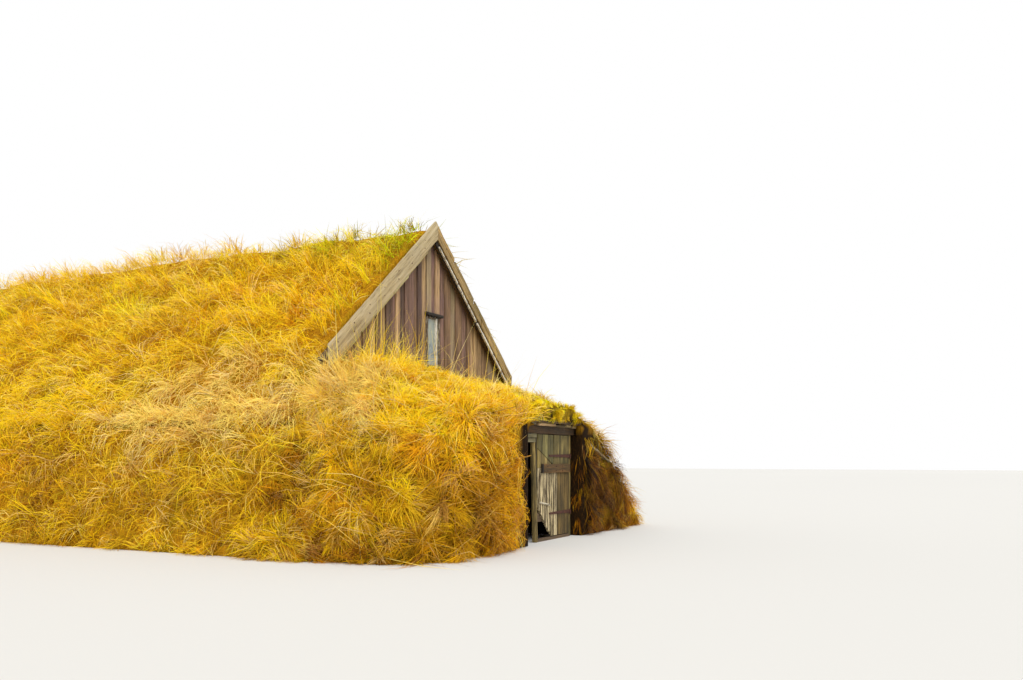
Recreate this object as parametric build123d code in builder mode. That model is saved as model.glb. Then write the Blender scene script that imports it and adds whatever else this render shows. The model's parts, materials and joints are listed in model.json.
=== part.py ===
from build123d import *

import math
import os

# Turf house: a timber gable house packed in grass-grown turf, with a low porch.
# Millimetres, +Z up. The front with the door faces -Y, +X is to the right when looking at the front.
# The origin is on the ground, in the middle of the length and of the foot's width.

# Footprint
HOUSE_LENGTH = 15000
ROOM_HALF = 1900  # inner face of the turf side walls, from the centre line
SIDE_WALL_THICK = 1700  # at the foot
FOOT_HALF = ROOM_HALF + SIDE_WALL_THICK
FRONT_Y = -HOUSE_LENGTH / 2
BACK_Y = HOUSE_LENGTH / 2
PORCH_LENGTH = 2140  # from the front foot to the face of the plank gable
GABLE_Y = FRONT_Y + PORCH_LENGTH
BACK_WALL_THICK = 1200
ROOM_BACK_Y = BACK_Y - BACK_WALL_THICK

# Roof section
PITCH = 0.84  # how far the roof drops for each one outwards
PLATE_TOP_Z = 2080  # where the rafters rest, at the room's inner face
BOARD_THICK = 25
RAFTER_DEEP = 140
RAFTER_WIDE = 100
RAFTER_PAIRS = 13
EAVES_PAST_ROOM = 250  # plumb cut of the rafters and roof boards
PLUMB = math.hypot(1, PITCH)  # upright thickness of a piece that lies on the slope, for each one of its own
BOARD_RISE = BOARD_THICK * PLUMB
RAFTER_RISE = RAFTER_DEEP * PLUMB
RAFTER_LOW_APEX = PLATE_TOP_Z + PITCH * ROOM_HALF
RAFTER_TOP_APEX = RAFTER_LOW_APEX + RAFTER_RISE
ROOF_APEX_Z = RAFTER_TOP_APEX + BOARD_RISE
EAVES_HALF = ROOM_HALF + EAVES_PAST_ROOM
TURF_OVER = 600  # turf over the boards' apex, upright, if its slopes met
TURF_APEX_Z = ROOF_APEX_Z + TURF_OVER
RIDGE_ROUND = 300
SHOULDER_WORN = 220
BATTER = 0.5  # how far the outer turf faces lean in for each one upwards

# Back end: it leans in as a turf wall does, and its top is worn round
BACK_LEAN = 0.17
HIP_LEAN = 0.9
HIP_SET = 1300  # the hip passes through the point this far in from the back
HIP_OVER = 300  # and this far over the boards' apex

# Timber frame inside the room
PLATE_WIDE = 120
PLATE_DEEP = 120
POST_SIDE = 120
FRAME_COUNT = 5
TIE_WIDE = 120
KING_POST_SIDE = 100
RIDGE_BEAM_WIDE = 120
RIDGE_BEAM_DEEP = 150
FOOTING_WIDE = 600
FOOTING_TOP_WIDE = 510
FOOTING_HIGH = 450

# Plank gable, its boards and its window
PLANK_THICK = 30
PLANK_OVER = 440  # planks' apex over the boards' apex
PLANK_APEX_Z = ROOF_APEX_Z + PLANK_OVER
PLANK_FOOT_Z = 2100
SILL_BEAM_DEEP = 150
SILL_BEAM_WIDE = 140
GABLE_WALL_THICK = 200  # turf under the sill beam, behind the face of the gable
STUD_SIDE = 80
WINDOW_X = 140
WINDOW_WIDE = 360
WINDOW_HIGH = 750
WINDOW_SILL_Z = 2420
WINDOW_STILE = 40
WINDOW_FRAME_DEEP = 70
WINDOW_FRAME_PROUD = 18
GLASS_THICK = 4
HEAD_BOARD_WIDE = 430
HEAD_BOARD_DEEP = 62
HEAD_BOARD_THICK = 32
HEAD_BOARD_FALL = 12
BARGE_OVER = 190  # bargeboards' apex over the planks' apex
BARGE_APEX_Z = PLANK_APEX_Z + BARGE_OVER
BARGE_WIDE = 230
BARGE_PLUMB_X = 60  # where the left bargeboard's top end is cut plumb, just past the middle
BARGE_THICK = 30
BARGE_PAST_ROOM = 550
BARGE_FOOT_HALF = ROOM_HALF + BARGE_PAST_ROOM
VERGE_REACH = 120  # from the planks' face forward to the back of the bargeboards

# Porch
PASSAGE_HALF = 700
BEARING_HALF = 900  # edge of the porch boards, on the turf walls
DOOR_RECESS = 150
DOOR_Y = FRONT_Y + DOOR_RECESS
PORCH_BOARD_THICK = 50
PORCH_TOP_LEFT = (1800, 1890, 2330)  # turf over the porch: at the front foot, the corner and the gable
PORCH_TOP_CROWN = (1850, 1940, 2370)
PORCH_TOP_RIGHT = (1640, 1760, 2330)
PORCH_CROWN_X = 250
# Outer faces of the front turf walls, each point as its set-in from the side walls' foot, and its height
LEFT_FRONT = ((700, 0), (950, 1000), (1350, 1600))
LEFT_CORNER = ((150, 0), (600, 1150), (1150, 1800))
RIGHT_FRONT = ((300, 0), (1650, 1000), (2100, 1300))
RIGHT_CORNER = ((150, 0), (1200, 1100), (1850, 1500))
GABLE_TURF_Z = 2330
GABLE_TURF_WORN = 250
EDGE_BOARD_HIGH = (930, 1310)  # upper end of the board that holds the turf's edge, right of the door
EDGE_BOARD_SHORT = (240, 70)  # its lower end, in and up from the bend of the turf's face
EDGE_BOARD_RISE = 34
EDGE_BOARD_DEEP = 100
PORCH_EAVE = 60
CORNER_SET = 450  # how far behind the front foot the rounded corners reach full width

# Doorway and door
DOORWAY_X = 50
DOORWAY_HALF = 515
DOORWAY_LEFT = DOORWAY_X - DOORWAY_HALF
DOORWAY_RIGHT = DOORWAY_X + DOORWAY_HALF
DOORWAY_HIGH = 1420
SPLAY_FRONT = 1080  # the turf left of the door is cut back to here at its front face
SPLAY_JAMB = 770  # to here beside the jamb
SPLAY_PAST_JAMB = 100  # and meets the passage this far behind the jamb's face
JAMB_DEEP = 50
LEFT_JAMB_WIDE = 100
RIGHT_JAMB_WIDE = 75
RIGHT_JAMB_SET_BACK = 10
LINTEL_HIGH = 110
LINTEL_DEEP = 140
LINTEL_LEFT = 800
LINTEL_RIGHT = 1080
LINTEL_PROUD = 10
LINTEL_BOARD_THICK = 30
LINTEL_BOARD_PROUD = 45
LINTEL_BOARD_PAST = 270  # past the porch boards, on the right
DOOR_SILL_HIGH = 40
DOOR_GAP = 7
DOOR_FOOT_GAP = 10
DOOR_HEAD_GAP = 8
DOOR_BOARD_THICK = 30
DOOR_BOARD_WIDTHS = (350, 245)  # the third board takes what is left
BITE_WIDE = 290  # bite out of the left board's rotted foot
BITE_HIGH = 400
BITE_MIDDLE_X = 170  # a point on the bite's curved edge
BITE_MIDDLE_Z = 230
LATCH_Z = 455  # underside of the latch stick's low end
LATCH_RISE = 50
LATCH_SIDE = 28
LATCH_LONG = 330
LATCH_INSET = 15
PACKING_HIGH = 60
PACKING_GAP = 4
PACKING_DEEP = 130
PACKING_REACHES = (980, 950)  # the upper short timber's end, then the lower one's
PACKING_PROUD = 30
PACKING_STEP_BACK = 12
PINTLE_PROUD = 8
PINTLE_BRACKET_HIGH = 14
DOOR_BOARD_GAP = 3
LEDGE_THICK = 28
LEDGE_HIGH = 120
OUTER_LEDGE_Z = 900
OUTER_LEDGE_LEFT = 375
OUTER_LEDGE_INSET = 5
INNER_LEDGE_ZS = (260, 1130)
INNER_LEDGE_INSETS = (25, 15)  # from the door's left edge and from its right
STRAP_ZS = (330, 1105)
STRAP_HIGH = 50
STRAP_TIP_HIGH = 26
STRAP_THICK = 8
STRAP_LONG = 700
HINGE_OUT = 13  # hinge axis, past the doorway's right edge
HINGE_PROUD = 1  # and in front of the straps
KNUCKLE_R = 12
STRAP_SHORT_OF_EYE = 2
PINTLE_R = 5.5
PINTLE_PLAY = 1.0
PINTLE_SEAT_GAP = 0.3

BARGE_RISE = BARGE_WIDE * PLUMB
VERGE_APEX_Z = PLANK_APEX_Z + BOARD_RISE
PLATE_FOOT_Z = PLATE_TOP_Z - PLATE_DEEP
WALL_TOP_Z = (ROOF_APEX_Z - PITCH * FOOT_HALF) / (1 - PITCH * BATTER)
WALL_TOP_HALF = FOOT_HALF - BATTER * WALL_TOP_Z
FRAME_Y0 = GABLE_Y + GABLE_WALL_THICK
BEHIND_PLANKS = GABLE_Y + PLANK_THICK
SIDES = ("left", "right")


def across(y):
    """The upright plane across the house at y, with its x to the right and its y up."""
    return Plane.XZ.offset(-y)


def outline(points):
    """A closed straight-sided profile, drawn in the sketch that is open."""
    Polygon(*points, align=None)


def along_house(points, front, back):
    """A profile across the house, given as (x, z) points, carried from front to back."""
    with BuildPart() as piece:
        with BuildSketch(across(front)):
            outline(points)
        extrude(amount=front - back)
    return piece


def sided(points, side):
    """The points of a right-hand profile, on the side asked for."""
    return [(x if side == "right" else -x, z) for x, z in points]


def keep(piece, name):
    """Label a finished piece and write it."""
    piece.part.label = name
    export_step(piece.part, f"parts/{name}.step")
    return piece


def ceiling_z(y):
    """Underside of the porch boards at y: they rest on the lintel board and on the gable's turf."""
    front_z = DOORWAY_HIGH + LINTEL_HIGH + LINTEL_BOARD_THICK
    front_y = DOOR_Y - PORCH_EAVE
    return front_z + (PLANK_FOOT_Z - front_z) * (y - front_y) / (GABLE_Y - front_y)


def drop(apex_z, x):
    """Height at x of a slope that starts at the middle of the house."""
    return apex_z - PITCH * x


def turf_outline():
    """The roof turf's section: worn ridge, slope, worn shoulder, leaning face, and the boards below."""
    full_turn = math.atan(PITCH)
    ridge_centre_z = TURF_APEX_Z - RIDGE_ROUND * PLUMB
    ridge = [
        (RIDGE_ROUND * math.sin(turn), ridge_centre_z + RIDGE_ROUND * math.cos(turn))
        for turn in (0, full_turn / 2, full_turn)
    ]
    shoulder_z = (TURF_APEX_Z - PITCH * FOOT_HALF) / (1 - PITCH * BATTER)
    shoulder_x = FOOT_HALF - BATTER * shoulder_z
    upper = (shoulder_x - SHOULDER_WORN, shoulder_z + PITCH * SHOULDER_WORN)
    lower = (shoulder_x + BATTER * SHOULDER_WORN, shoulder_z - SHOULDER_WORN)
    return [(0, ROOF_APEX_Z), *ridge, upper, lower, (WALL_TOP_HALF, WALL_TOP_Z)]


os.makedirs("parts", exist_ok=True)

# Plank gable, with the window cut through it
window_head_z = WINDOW_SILL_Z + WINDOW_HIGH
window_middle_z = WINDOW_SILL_Z + WINDOW_HIGH / 2
plank_outline = [
    (-BARGE_FOOT_HALF, PLANK_FOOT_Z),
    (BARGE_FOOT_HALF, PLANK_FOOT_Z),
    (BARGE_FOOT_HALF, drop(PLANK_APEX_Z, BARGE_FOOT_HALF)),
    (0, PLANK_APEX_Z),
    (-BARGE_FOOT_HALF, drop(PLANK_APEX_Z, BARGE_FOOT_HALF)),
]
with BuildPart() as gable_planks:
    with BuildSketch(across(GABLE_Y)):
        outline(plank_outline)
        with Locations((WINDOW_X, window_middle_z)):
            Rectangle(WINDOW_WIDE, WINDOW_HIGH, mode=Mode.SUBTRACT)
    extrude(amount=-PLANK_THICK)
keep(gable_planks, "gable_planks")
plank_slot = along_house(plank_outline, GABLE_Y, BEHIND_PLANKS)

# Window
with BuildPart() as window_frame:
    with BuildSketch(across(GABLE_Y - WINDOW_FRAME_PROUD)):
        with Locations((WINDOW_X, window_middle_z)):
            Rectangle(WINDOW_WIDE, WINDOW_HIGH)
            Rectangle(WINDOW_WIDE - 2 * WINDOW_STILE, WINDOW_HIGH - 2 * WINDOW_STILE, mode=Mode.SUBTRACT)
    extrude(amount=-WINDOW_FRAME_DEEP)
keep(window_frame, "window_frame")

with BuildPart() as window_glass:
    with BuildSketch(across(GABLE_Y)):
        with Locations((WINDOW_X, window_middle_z)):
            Rectangle(WINDOW_WIDE - 2 * WINDOW_STILE, WINDOW_HIGH - 2 * WINDOW_STILE)
    extrude(amount=-GLASS_THICK)
keep(window_glass, "window_glass")

with BuildPart() as window_head_board:
    with BuildSketch(Plane.YZ.offset(WINDOW_X - HEAD_BOARD_WIDE / 2)):
        outline(
            [
                (GABLE_Y, window_head_z),
                (GABLE_Y, window_head_z + HEAD_BOARD_THICK + HEAD_BOARD_FALL),
                (GABLE_Y - HEAD_BOARD_DEEP, window_head_z + HEAD_BOARD_THICK),
                (GABLE_Y - HEAD_BOARD_DEEP, window_head_z),
            ]
        )
    extrude(amount=HEAD_BOARD_WIDE)
keep(window_head_board, "window_head_board")

# Bargeboards: the left one ends plumb at the top, and the right one butts against it
barge_low_apex = BARGE_APEX_Z - BARGE_RISE
barge_front = GABLE_Y - VERGE_REACH - BARGE_THICK
barge_back = GABLE_Y - VERGE_REACH
butt = [
    (BARGE_PLUMB_X, barge_low_apex + PITCH * BARGE_PLUMB_X),
    (BARGE_PLUMB_X, drop(BARGE_APEX_Z, BARGE_PLUMB_X)),
]
left_bargeboard = along_house(
    [
        (-BARGE_FOOT_HALF, drop(barge_low_apex, BARGE_FOOT_HALF)),
        *butt,
        (0, BARGE_APEX_Z),
        (-BARGE_FOOT_HALF, drop(BARGE_APEX_Z, BARGE_FOOT_HALF)),
    ],
    barge_front,
    barge_back,
)
keep(left_bargeboard, "left_bargeboard")
right_bargeboard = along_house(
    [
        (0, barge_low_apex),
        *butt,
        (BARGE_FOOT_HALF, drop(BARGE_APEX_Z, BARGE_FOOT_HALF)),
        (BARGE_FOOT_HALF, drop(barge_low_apex, BARGE_FOOT_HALF)),
    ],
    barge_front,
    barge_back,
)
keep(right_bargeboard, "right_bargeboard")
bargeboards = {"left": left_bargeboard, "right": right_bargeboard}

# Verge boards, lying along the planks' upper edge and carrying the bargeboards
verge_boards = {}
for name in SIDES:
    verge_boards[name] = along_house(
        sided(
            [
                (0, PLANK_APEX_Z),
                (0, VERGE_APEX_Z),
                (BARGE_FOOT_HALF, drop(VERGE_APEX_Z, BARGE_FOOT_HALF)),
                (BARGE_FOOT_HALF, drop(PLANK_APEX_Z, BARGE_FOOT_HALF)),
            ],
            name,
        ),
        barge_back,
        BEHIND_PLANKS,
    )
    keep(verge_boards[name], f"{name}_verge_board")

# Timber frame of the room: footings, plates, posts, rafters and boards, one side and then the other
room_length = ROOM_BACK_Y - FRAME_Y0
frame_ys = [FRAME_Y0 + room_length * (i + 1) / (FRAME_COUNT + 1) for i in range(FRAME_COUNT)]
rafter_step = (ROOM_BACK_Y - BEHIND_PLANKS - RAFTER_WIDE) / (RAFTER_PAIRS - 1)
rafter_ys = [BEHIND_PLANKS + i * rafter_step for i in range(RAFTER_PAIRS)]
plate_inner = ROOM_HALF - PLATE_WIDE

footings = {}
for name in SIDES:
    footings[name] = along_house(
        sided(
            [
                (ROOM_HALF, 0),
                (ROOM_HALF + FOOTING_WIDE, 0),
                (ROOM_HALF + FOOTING_TOP_WIDE, FOOTING_HIGH),
                (ROOM_HALF, FOOTING_HIGH),
            ],
            name,
        ),
        FRAME_Y0,
        ROOM_BACK_Y,
    )
    keep(footings[name], f"{name}_stone_footing")

    plate = along_house(
        sided(
            [
                (plate_inner, PLATE_FOOT_Z),
                (ROOM_HALF, PLATE_FOOT_Z),
                (ROOM_HALF, PLATE_TOP_Z),
                (plate_inner, drop(RAFTER_LOW_APEX, plate_inner)),
            ],
            name,
        ),
        FRAME_Y0,
        ROOM_BACK_Y,
    )
    keep(plate, f"{name}_wall_plate")

    with BuildPart() as posts:
        with BuildSketch():
            with Locations(*sided([(ROOM_HALF - POST_SIDE / 2, y) for y in frame_ys], name)):
                Rectangle(POST_SIDE, POST_SIDE)
        extrude(amount=PLATE_FOOT_Z)
    keep(posts, f"{name}_posts")

    rafter_outline = sided(
        [
            (0, RAFTER_LOW_APEX),
            (0, RAFTER_TOP_APEX),
            (EAVES_HALF, drop(RAFTER_TOP_APEX, EAVES_HALF)),
            (EAVES_HALF, drop(RAFTER_LOW_APEX, EAVES_HALF)),
        ],
        name,
    )
    with BuildPart() as rafters:
        for y in rafter_ys:
            with BuildSketch(across(y)):
                outline(rafter_outline)
            extrude(amount=-RAFTER_WIDE)
    keep(rafters, f"{name}_rafters")

    boards = along_house(
        sided(
            [
                (0, RAFTER_TOP_APEX),
                (0, ROOF_APEX_Z),
                (EAVES_HALF, drop(ROOF_APEX_Z, EAVES_HALF)),
                (EAVES_HALF, drop(RAFTER_TOP_APEX, EAVES_HALF)),
            ],
            name,
        ),
        BEHIND_PLANKS,
        ROOM_BACK_Y,
    )
    keep(boards, f"{name}_roof_boards")

# Ridge beam under the rafters' meeting, on king posts that stand on tie beams
beam_half = RIDGE_BEAM_WIDE / 2
beam_shoulder_z = drop(RAFTER_LOW_APEX, beam_half)
beam_foot_z = beam_shoulder_z - RIDGE_BEAM_DEEP
ridge_beam = along_house(
    [
        (-beam_half, beam_foot_z),
        (beam_half, beam_foot_z),
        (beam_half, beam_shoulder_z),
        (0, RAFTER_LOW_APEX),
        (-beam_half, beam_shoulder_z),
    ],
    BEHIND_PLANKS,
    ROOM_BACK_Y,
)
keep(ridge_beam, "ridge_beam")

tie_top_z = PLATE_TOP_Z
with BuildPart() as tie_beams:
    with BuildSketch(Plane.XY.offset(PLATE_FOOT_Z)):
        with Locations(*[(0, y) for y in frame_ys]):
            Rectangle(2 * plate_inner, TIE_WIDE)
    extrude(amount=PLATE_DEEP)
keep(tie_beams, "tie_beams")

with BuildPart() as king_posts:
    with BuildSketch(Plane.XY.offset(tie_top_z)):
        with Locations(*[(0, y) for y in frame_ys]):
            Rectangle(KING_POST_SIDE, KING_POST_SIDE)
    extrude(amount=beam_foot_z - tie_top_z)
keep(king_posts, "king_posts")

# Gable framing: a sill beam on the turf wall, and two studs with rails over and under the window
sill_top_z = PLANK_FOOT_Z + SILL_BEAM_DEEP
sill_foot_half = (RAFTER_LOW_APEX - PLANK_FOOT_Z) / PITCH
sill_top_half = (RAFTER_LOW_APEX - sill_top_z) / PITCH
gable_sill_beam = along_house(
    [
        (-sill_foot_half, PLANK_FOOT_Z),
        (sill_foot_half, PLANK_FOOT_Z),
        (sill_top_half, sill_top_z),
        (-sill_top_half, sill_top_z),
    ],
    BEHIND_PLANKS,
    BEHIND_PLANKS + SILL_BEAM_WIDE,
)
keep(gable_sill_beam, "gable_sill_beam")

stud_top_z = window_head_z + STUD_SIDE
with BuildPart() as window_studs:
    with BuildSketch(across(BEHIND_PLANKS)):
        with Locations((WINDOW_X, (sill_top_z + stud_top_z) / 2)):
            Rectangle(WINDOW_WIDE + 2 * STUD_SIDE, stud_top_z - sill_top_z)
            Rectangle(WINDOW_WIDE, stud_top_z - sill_top_z, mode=Mode.SUBTRACT)
        with Locations((WINDOW_X, window_head_z + STUD_SIDE / 2), (WINDOW_X, WINDOW_SILL_Z - STUD_SIDE / 2)):
            Rectangle(WINDOW_WIDE, STUD_SIDE)
    extrude(amount=-STUD_SIDE)
keep(window_studs, "window_studs")

# Turf side walls, standing round the stone footings
wall_outline = [
    (ROOM_HALF, 0),
    (FOOT_HALF, 0),
    (WALL_TOP_HALF, WALL_TOP_Z),
    (EAVES_HALF, drop(ROOF_APEX_Z, EAVES_HALF)),
    (EAVES_HALF, drop(RAFTER_LOW_APEX, EAVES_HALF)),
    (ROOM_HALF, PLATE_TOP_Z),
]
for name in SIDES:
    with BuildPart() as side_wall:
        with BuildSketch(across(GABLE_Y)):
            outline(sided(wall_outline, name))
        extrude(amount=GABLE_Y - ROOM_BACK_Y)
        add(footings[name].part, mode=Mode.SUBTRACT)
        add(plank_slot.part, mode=Mode.SUBTRACT)
    keep(side_wall, f"{name}_side_wall")

# Roof turf, worn round at the ridge and at the shoulder
back_batter = Plane(origin=(0, BACK_Y, 0), z_dir=(0, 1, BACK_LEAN))
back_hip = Plane(origin=(0, BACK_Y - HIP_SET, ROOF_APEX_Z + HIP_OVER), z_dir=(0, 1, HIP_LEAN))
for name in SIDES:
    with BuildPart() as roof_turf:
        with BuildSketch(across(GABLE_Y)):
            outline(sided(turf_outline(), name))
        extrude(amount=-(BACK_Y - GABLE_Y))
        split(bisect_by=back_batter, keep=Keep.BOTTOM)
        split(bisect_by=back_hip, keep=Keep.BOTTOM)
        add(plank_slot.part, mode=Mode.SUBTRACT)
        add(verge_boards[name].part, mode=Mode.SUBTRACT)
    keep(roof_turf, f"{name}_roof_turf")

with BuildPart() as back_wall:
    with BuildSketch(across(ROOM_BACK_Y)):
        outline(
            [
                (-FOOT_HALF, 0),
                (FOOT_HALF, 0),
                (WALL_TOP_HALF, WALL_TOP_Z),
                (0, ROOF_APEX_Z),
                (-WALL_TOP_HALF, WALL_TOP_Z),
            ]
        )
    extrude(amount=-BACK_WALL_THICK)
    split(bisect_by=back_batter, keep=Keep.BOTTOM)
    split(bisect_by=back_hip, keep=Keep.BOTTOM)
keep(back_wall, "back_wall")

# Doorway: jambs, sill, lintel and the boards on it
left_jamb_x = DOORWAY_LEFT - LEFT_JAMB_WIDE
with BuildPart() as left_door_jamb:
    with BuildSketch():
        with Locations((left_jamb_x, DOOR_Y)):
            Rectangle(LEFT_JAMB_WIDE, JAMB_DEEP, align=(Align.MIN, Align.MIN))
    extrude(amount=DOORWAY_HIGH)
keep(left_door_jamb, "left_door_jamb")

jamb_face_y = DOOR_Y + RIGHT_JAMB_SET_BACK
with BuildPart() as right_door_jamb:
    with BuildSketch():
        with Locations((DOORWAY_RIGHT, jamb_face_y)):
            Rectangle(RIGHT_JAMB_WIDE, JAMB_DEEP - RIGHT_JAMB_SET_BACK, align=(Align.MIN, Align.MIN))
    extrude(amount=DOORWAY_HIGH)
keep(right_door_jamb, "right_door_jamb")

with BuildPart() as door_sill:
    with BuildSketch():
        with Locations((DOORWAY_X, DOOR_Y + JAMB_DEEP / 2)):
            Rectangle(2 * DOORWAY_HALF, JAMB_DEEP)
    extrude(amount=DOOR_SILL_HIGH)
keep(door_sill, "door_sill")

lintel_top_z = DOORWAY_HIGH + LINTEL_HIGH
with BuildPart() as lintel:
    with BuildSketch(across(DOOR_Y - LINTEL_PROUD)):
        outline(
            [
                (-LINTEL_LEFT, DOORWAY_HIGH),
                (LINTEL_RIGHT, DOORWAY_HIGH),
                (LINTEL_RIGHT, lintel_top_z),
                (-LINTEL_LEFT, lintel_top_z),
            ]
        )
    extrude(amount=-LINTEL_DEEP)
keep(lintel, "lintel")

lintel_board = along_house(
    [
        (-BEARING_HALF, lintel_top_z),
        (BEARING_HALF + LINTEL_BOARD_PAST, lintel_top_z),
        (BEARING_HALF + LINTEL_BOARD_PAST, lintel_top_z + LINTEL_BOARD_THICK),
        (-BEARING_HALF, lintel_top_z + LINTEL_BOARD_THICK),
    ],
    DOOR_Y - LINTEL_BOARD_PROUD,
    DOOR_Y,
)
keep(lintel_board, "lintel_board")

# Porch roof boards, falling to the front
porch_front_y = DOOR_Y - PORCH_EAVE
with BuildPart() as porch_roof_boards:
    with BuildSketch(Plane.YZ.offset(-BEARING_HALF)):
        outline(
            [
                (porch_front_y, ceiling_z(porch_front_y)),
                (GABLE_Y, ceiling_z(GABLE_Y)),
                (GABLE_Y, ceiling_z(GABLE_Y) + PORCH_BOARD_THICK),
                (porch_front_y, ceiling_z(porch_front_y) + PORCH_BOARD_THICK),
            ]
        )
    extrude(amount=2 * BEARING_HALF)
keep(porch_roof_boards, "porch_roof_boards")

# Short timbers packed under the lintel's left end, and the board at the turf's right edge
with BuildPart() as lintel_packing:
    for layer, reach in enumerate(PACKING_REACHES):
        foot_z = DOORWAY_HIGH - (layer + 1) * PACKING_HIGH
        with BuildSketch(across(DOOR_Y - PACKING_PROUD + PACKING_STEP_BACK * layer)):
            outline(
                [
                    (-reach, foot_z + PACKING_GAP),
                    (left_jamb_x - PACKING_GAP, foot_z + PACKING_GAP),
                    (left_jamb_x - PACKING_GAP, foot_z + PACKING_HIGH),
                    (-reach, foot_z + PACKING_HIGH),
                ]
            )
        extrude(amount=-PACKING_DEEP)
keep(lintel_packing, "lintel_packing")

high_x, high_z = EDGE_BOARD_HIGH
bend_set, bend_z = RIGHT_FRONT[1]
low_x = FOOT_HALF - bend_set - EDGE_BOARD_SHORT[0]
low_z = bend_z + EDGE_BOARD_SHORT[1]
porch_edge_board = along_house(
    [
        (high_x, high_z),
        (low_x, low_z),
        (low_x, low_z - EDGE_BOARD_RISE),
        (high_x, high_z - EDGE_BOARD_RISE),
    ],
    FRONT_Y,
    FRONT_Y + EDGE_BOARD_DEEP,
)
keep(porch_edge_board, "porch_edge_board")

# Turf walls each side of the porch passage, and the turf on its boards. The left wall is cut back beside
# the door, under the lintel's height, so that the jamb stands clear of it.
with BuildPart() as splay:
    with BuildSketch():
        outline(
            [
                (-PASSAGE_HALF, FRONT_Y),
                (-SPLAY_FRONT, FRONT_Y),
                (-SPLAY_JAMB, DOOR_Y),
                (-PASSAGE_HALF, DOOR_Y + SPLAY_PAST_JAMB),
            ]
        )
    extrude(amount=lintel_top_z)
corner_y = FRONT_Y + CORNER_SET
porch_ys = (FRONT_Y, corner_y, GABLE_Y)
worn_z = GABLE_TURF_Z - GABLE_TURF_WORN
gable_turf = (
    (FOOT_HALF, 0),
    (FOOT_HALF - BATTER * worn_z, worn_z),
    (FOOT_HALF - BATTER * worn_z - GABLE_TURF_WORN, GABLE_TURF_Z),
)
front_walls = (
    ("left", LEFT_FRONT, LEFT_CORNER, PORCH_TOP_LEFT),
    ("right", RIGHT_FRONT, RIGHT_CORNER, PORCH_TOP_RIGHT),
)
for name, front_sets, corner_sets, tops in front_walls:
    front_face = [(FOOT_HALF - inwards, z) for inwards, z in front_sets]
    corner_face = [(FOOT_HALF - inwards, z) for inwards, z in corner_sets]
    faces = (front_face, corner_face, gable_turf)
    board_slot = along_house(
        sided(
            [
                (0, PLANK_APEX_Z),
                (0, BARGE_APEX_Z),
                (BARGE_FOOT_HALF, drop(BARGE_APEX_Z, BARGE_FOOT_HALF)),
                (BARGE_FOOT_HALF, drop(PLANK_APEX_Z, BARGE_FOOT_HALF)),
            ],
            name,
        ),
        barge_back,
        GABLE_Y,
    )
    with BuildPart() as front_wall:
        for y, face, top_z in zip(porch_ys, faces, tops):
            with BuildSketch(across(y)):
                outline(
                    sided(
                        [
                            (PASSAGE_HALF, 0),
                            *face,
                            (BEARING_HALF, top_z),
                            (BEARING_HALF, ceiling_z(y)),
                            (PASSAGE_HALF, ceiling_z(y)),
                        ],
                        name,
                    )
                )
        loft(ruled=True)
        with BuildSketch(across(GABLE_Y)):
            outline(
                sided(
                    [
                        (PASSAGE_HALF, 0),
                        (ROOM_HALF, 0),
                        (ROOM_HALF, PLATE_TOP_Z),
                        (sill_foot_half, PLANK_FOOT_Z),
                        (PASSAGE_HALF, PLANK_FOOT_Z),
                    ],
                    name,
                )
            )
        extrude(amount=-GABLE_WALL_THICK)
        for buried in (bargeboards[name], board_slot, lintel, lintel_board, lintel_packing, porch_edge_board):
            add(buried.part, mode=Mode.SUBTRACT)
        if name == "left":
            add(splay.part, mode=Mode.SUBTRACT)
    keep(front_wall, f"front_{name}_wall")

with BuildPart() as porch_roof_turf:
    for y, left_z, crown_z, right_z in zip(porch_ys, PORCH_TOP_LEFT, PORCH_TOP_CROWN, PORCH_TOP_RIGHT):
        boards_top_z = ceiling_z(y) + PORCH_BOARD_THICK
        with BuildSketch(across(y)):
            outline(
                [
                    (-BEARING_HALF, boards_top_z),
                    (BEARING_HALF, boards_top_z),
                    (BEARING_HALF, right_z),
                    (PORCH_CROWN_X, crown_z),
                    (-BEARING_HALF, left_z),
                ]
            )
    loft(ruled=True)
keep(porch_roof_turf, "porch_roof_turf")

# Door: three upright boards with gaps between them, on ledges, hung on straps at its right edge
door_left_x = DOORWAY_LEFT + DOOR_GAP
door_right_x = DOORWAY_RIGHT - DOOR_GAP
door_foot_z = DOOR_SILL_HIGH + DOOR_FOOT_GAP
door_top_z = DOORWAY_HIGH - DOOR_HEAD_GAP
board_edges = [door_left_x]
for width in DOOR_BOARD_WIDTHS:
    board_edges.append(board_edges[-1] + width + DOOR_BOARD_GAP)
board_edges.append(door_right_x + DOOR_BOARD_GAP)
with BuildPart() as door_boards:
    with BuildSketch(across(DOOR_Y)):
        for low_x, high_x in zip(board_edges, board_edges[1:]):
            outline(
                [
                    (low_x, door_foot_z),
                    (high_x - DOOR_BOARD_GAP, door_foot_z),
                    (high_x - DOOR_BOARD_GAP, door_top_z),
                    (low_x, door_top_z),
                ]
            )
        with BuildLine() as rotted:
            foot = (door_left_x, door_foot_z)
            Line(foot, (door_left_x + BITE_WIDE, door_foot_z))
            ThreePointArc(
                (door_left_x + BITE_WIDE, door_foot_z),
                (door_left_x + BITE_MIDDLE_X, door_foot_z + BITE_MIDDLE_Z),
                (door_left_x, door_foot_z + BITE_HIGH),
            )
            Line((door_left_x, door_foot_z + BITE_HIGH), foot)
        make_face(rotted.edges(), mode=Mode.SUBTRACT)
    extrude(amount=-DOOR_BOARD_THICK)
keep(door_boards, "door_boards")

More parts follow.
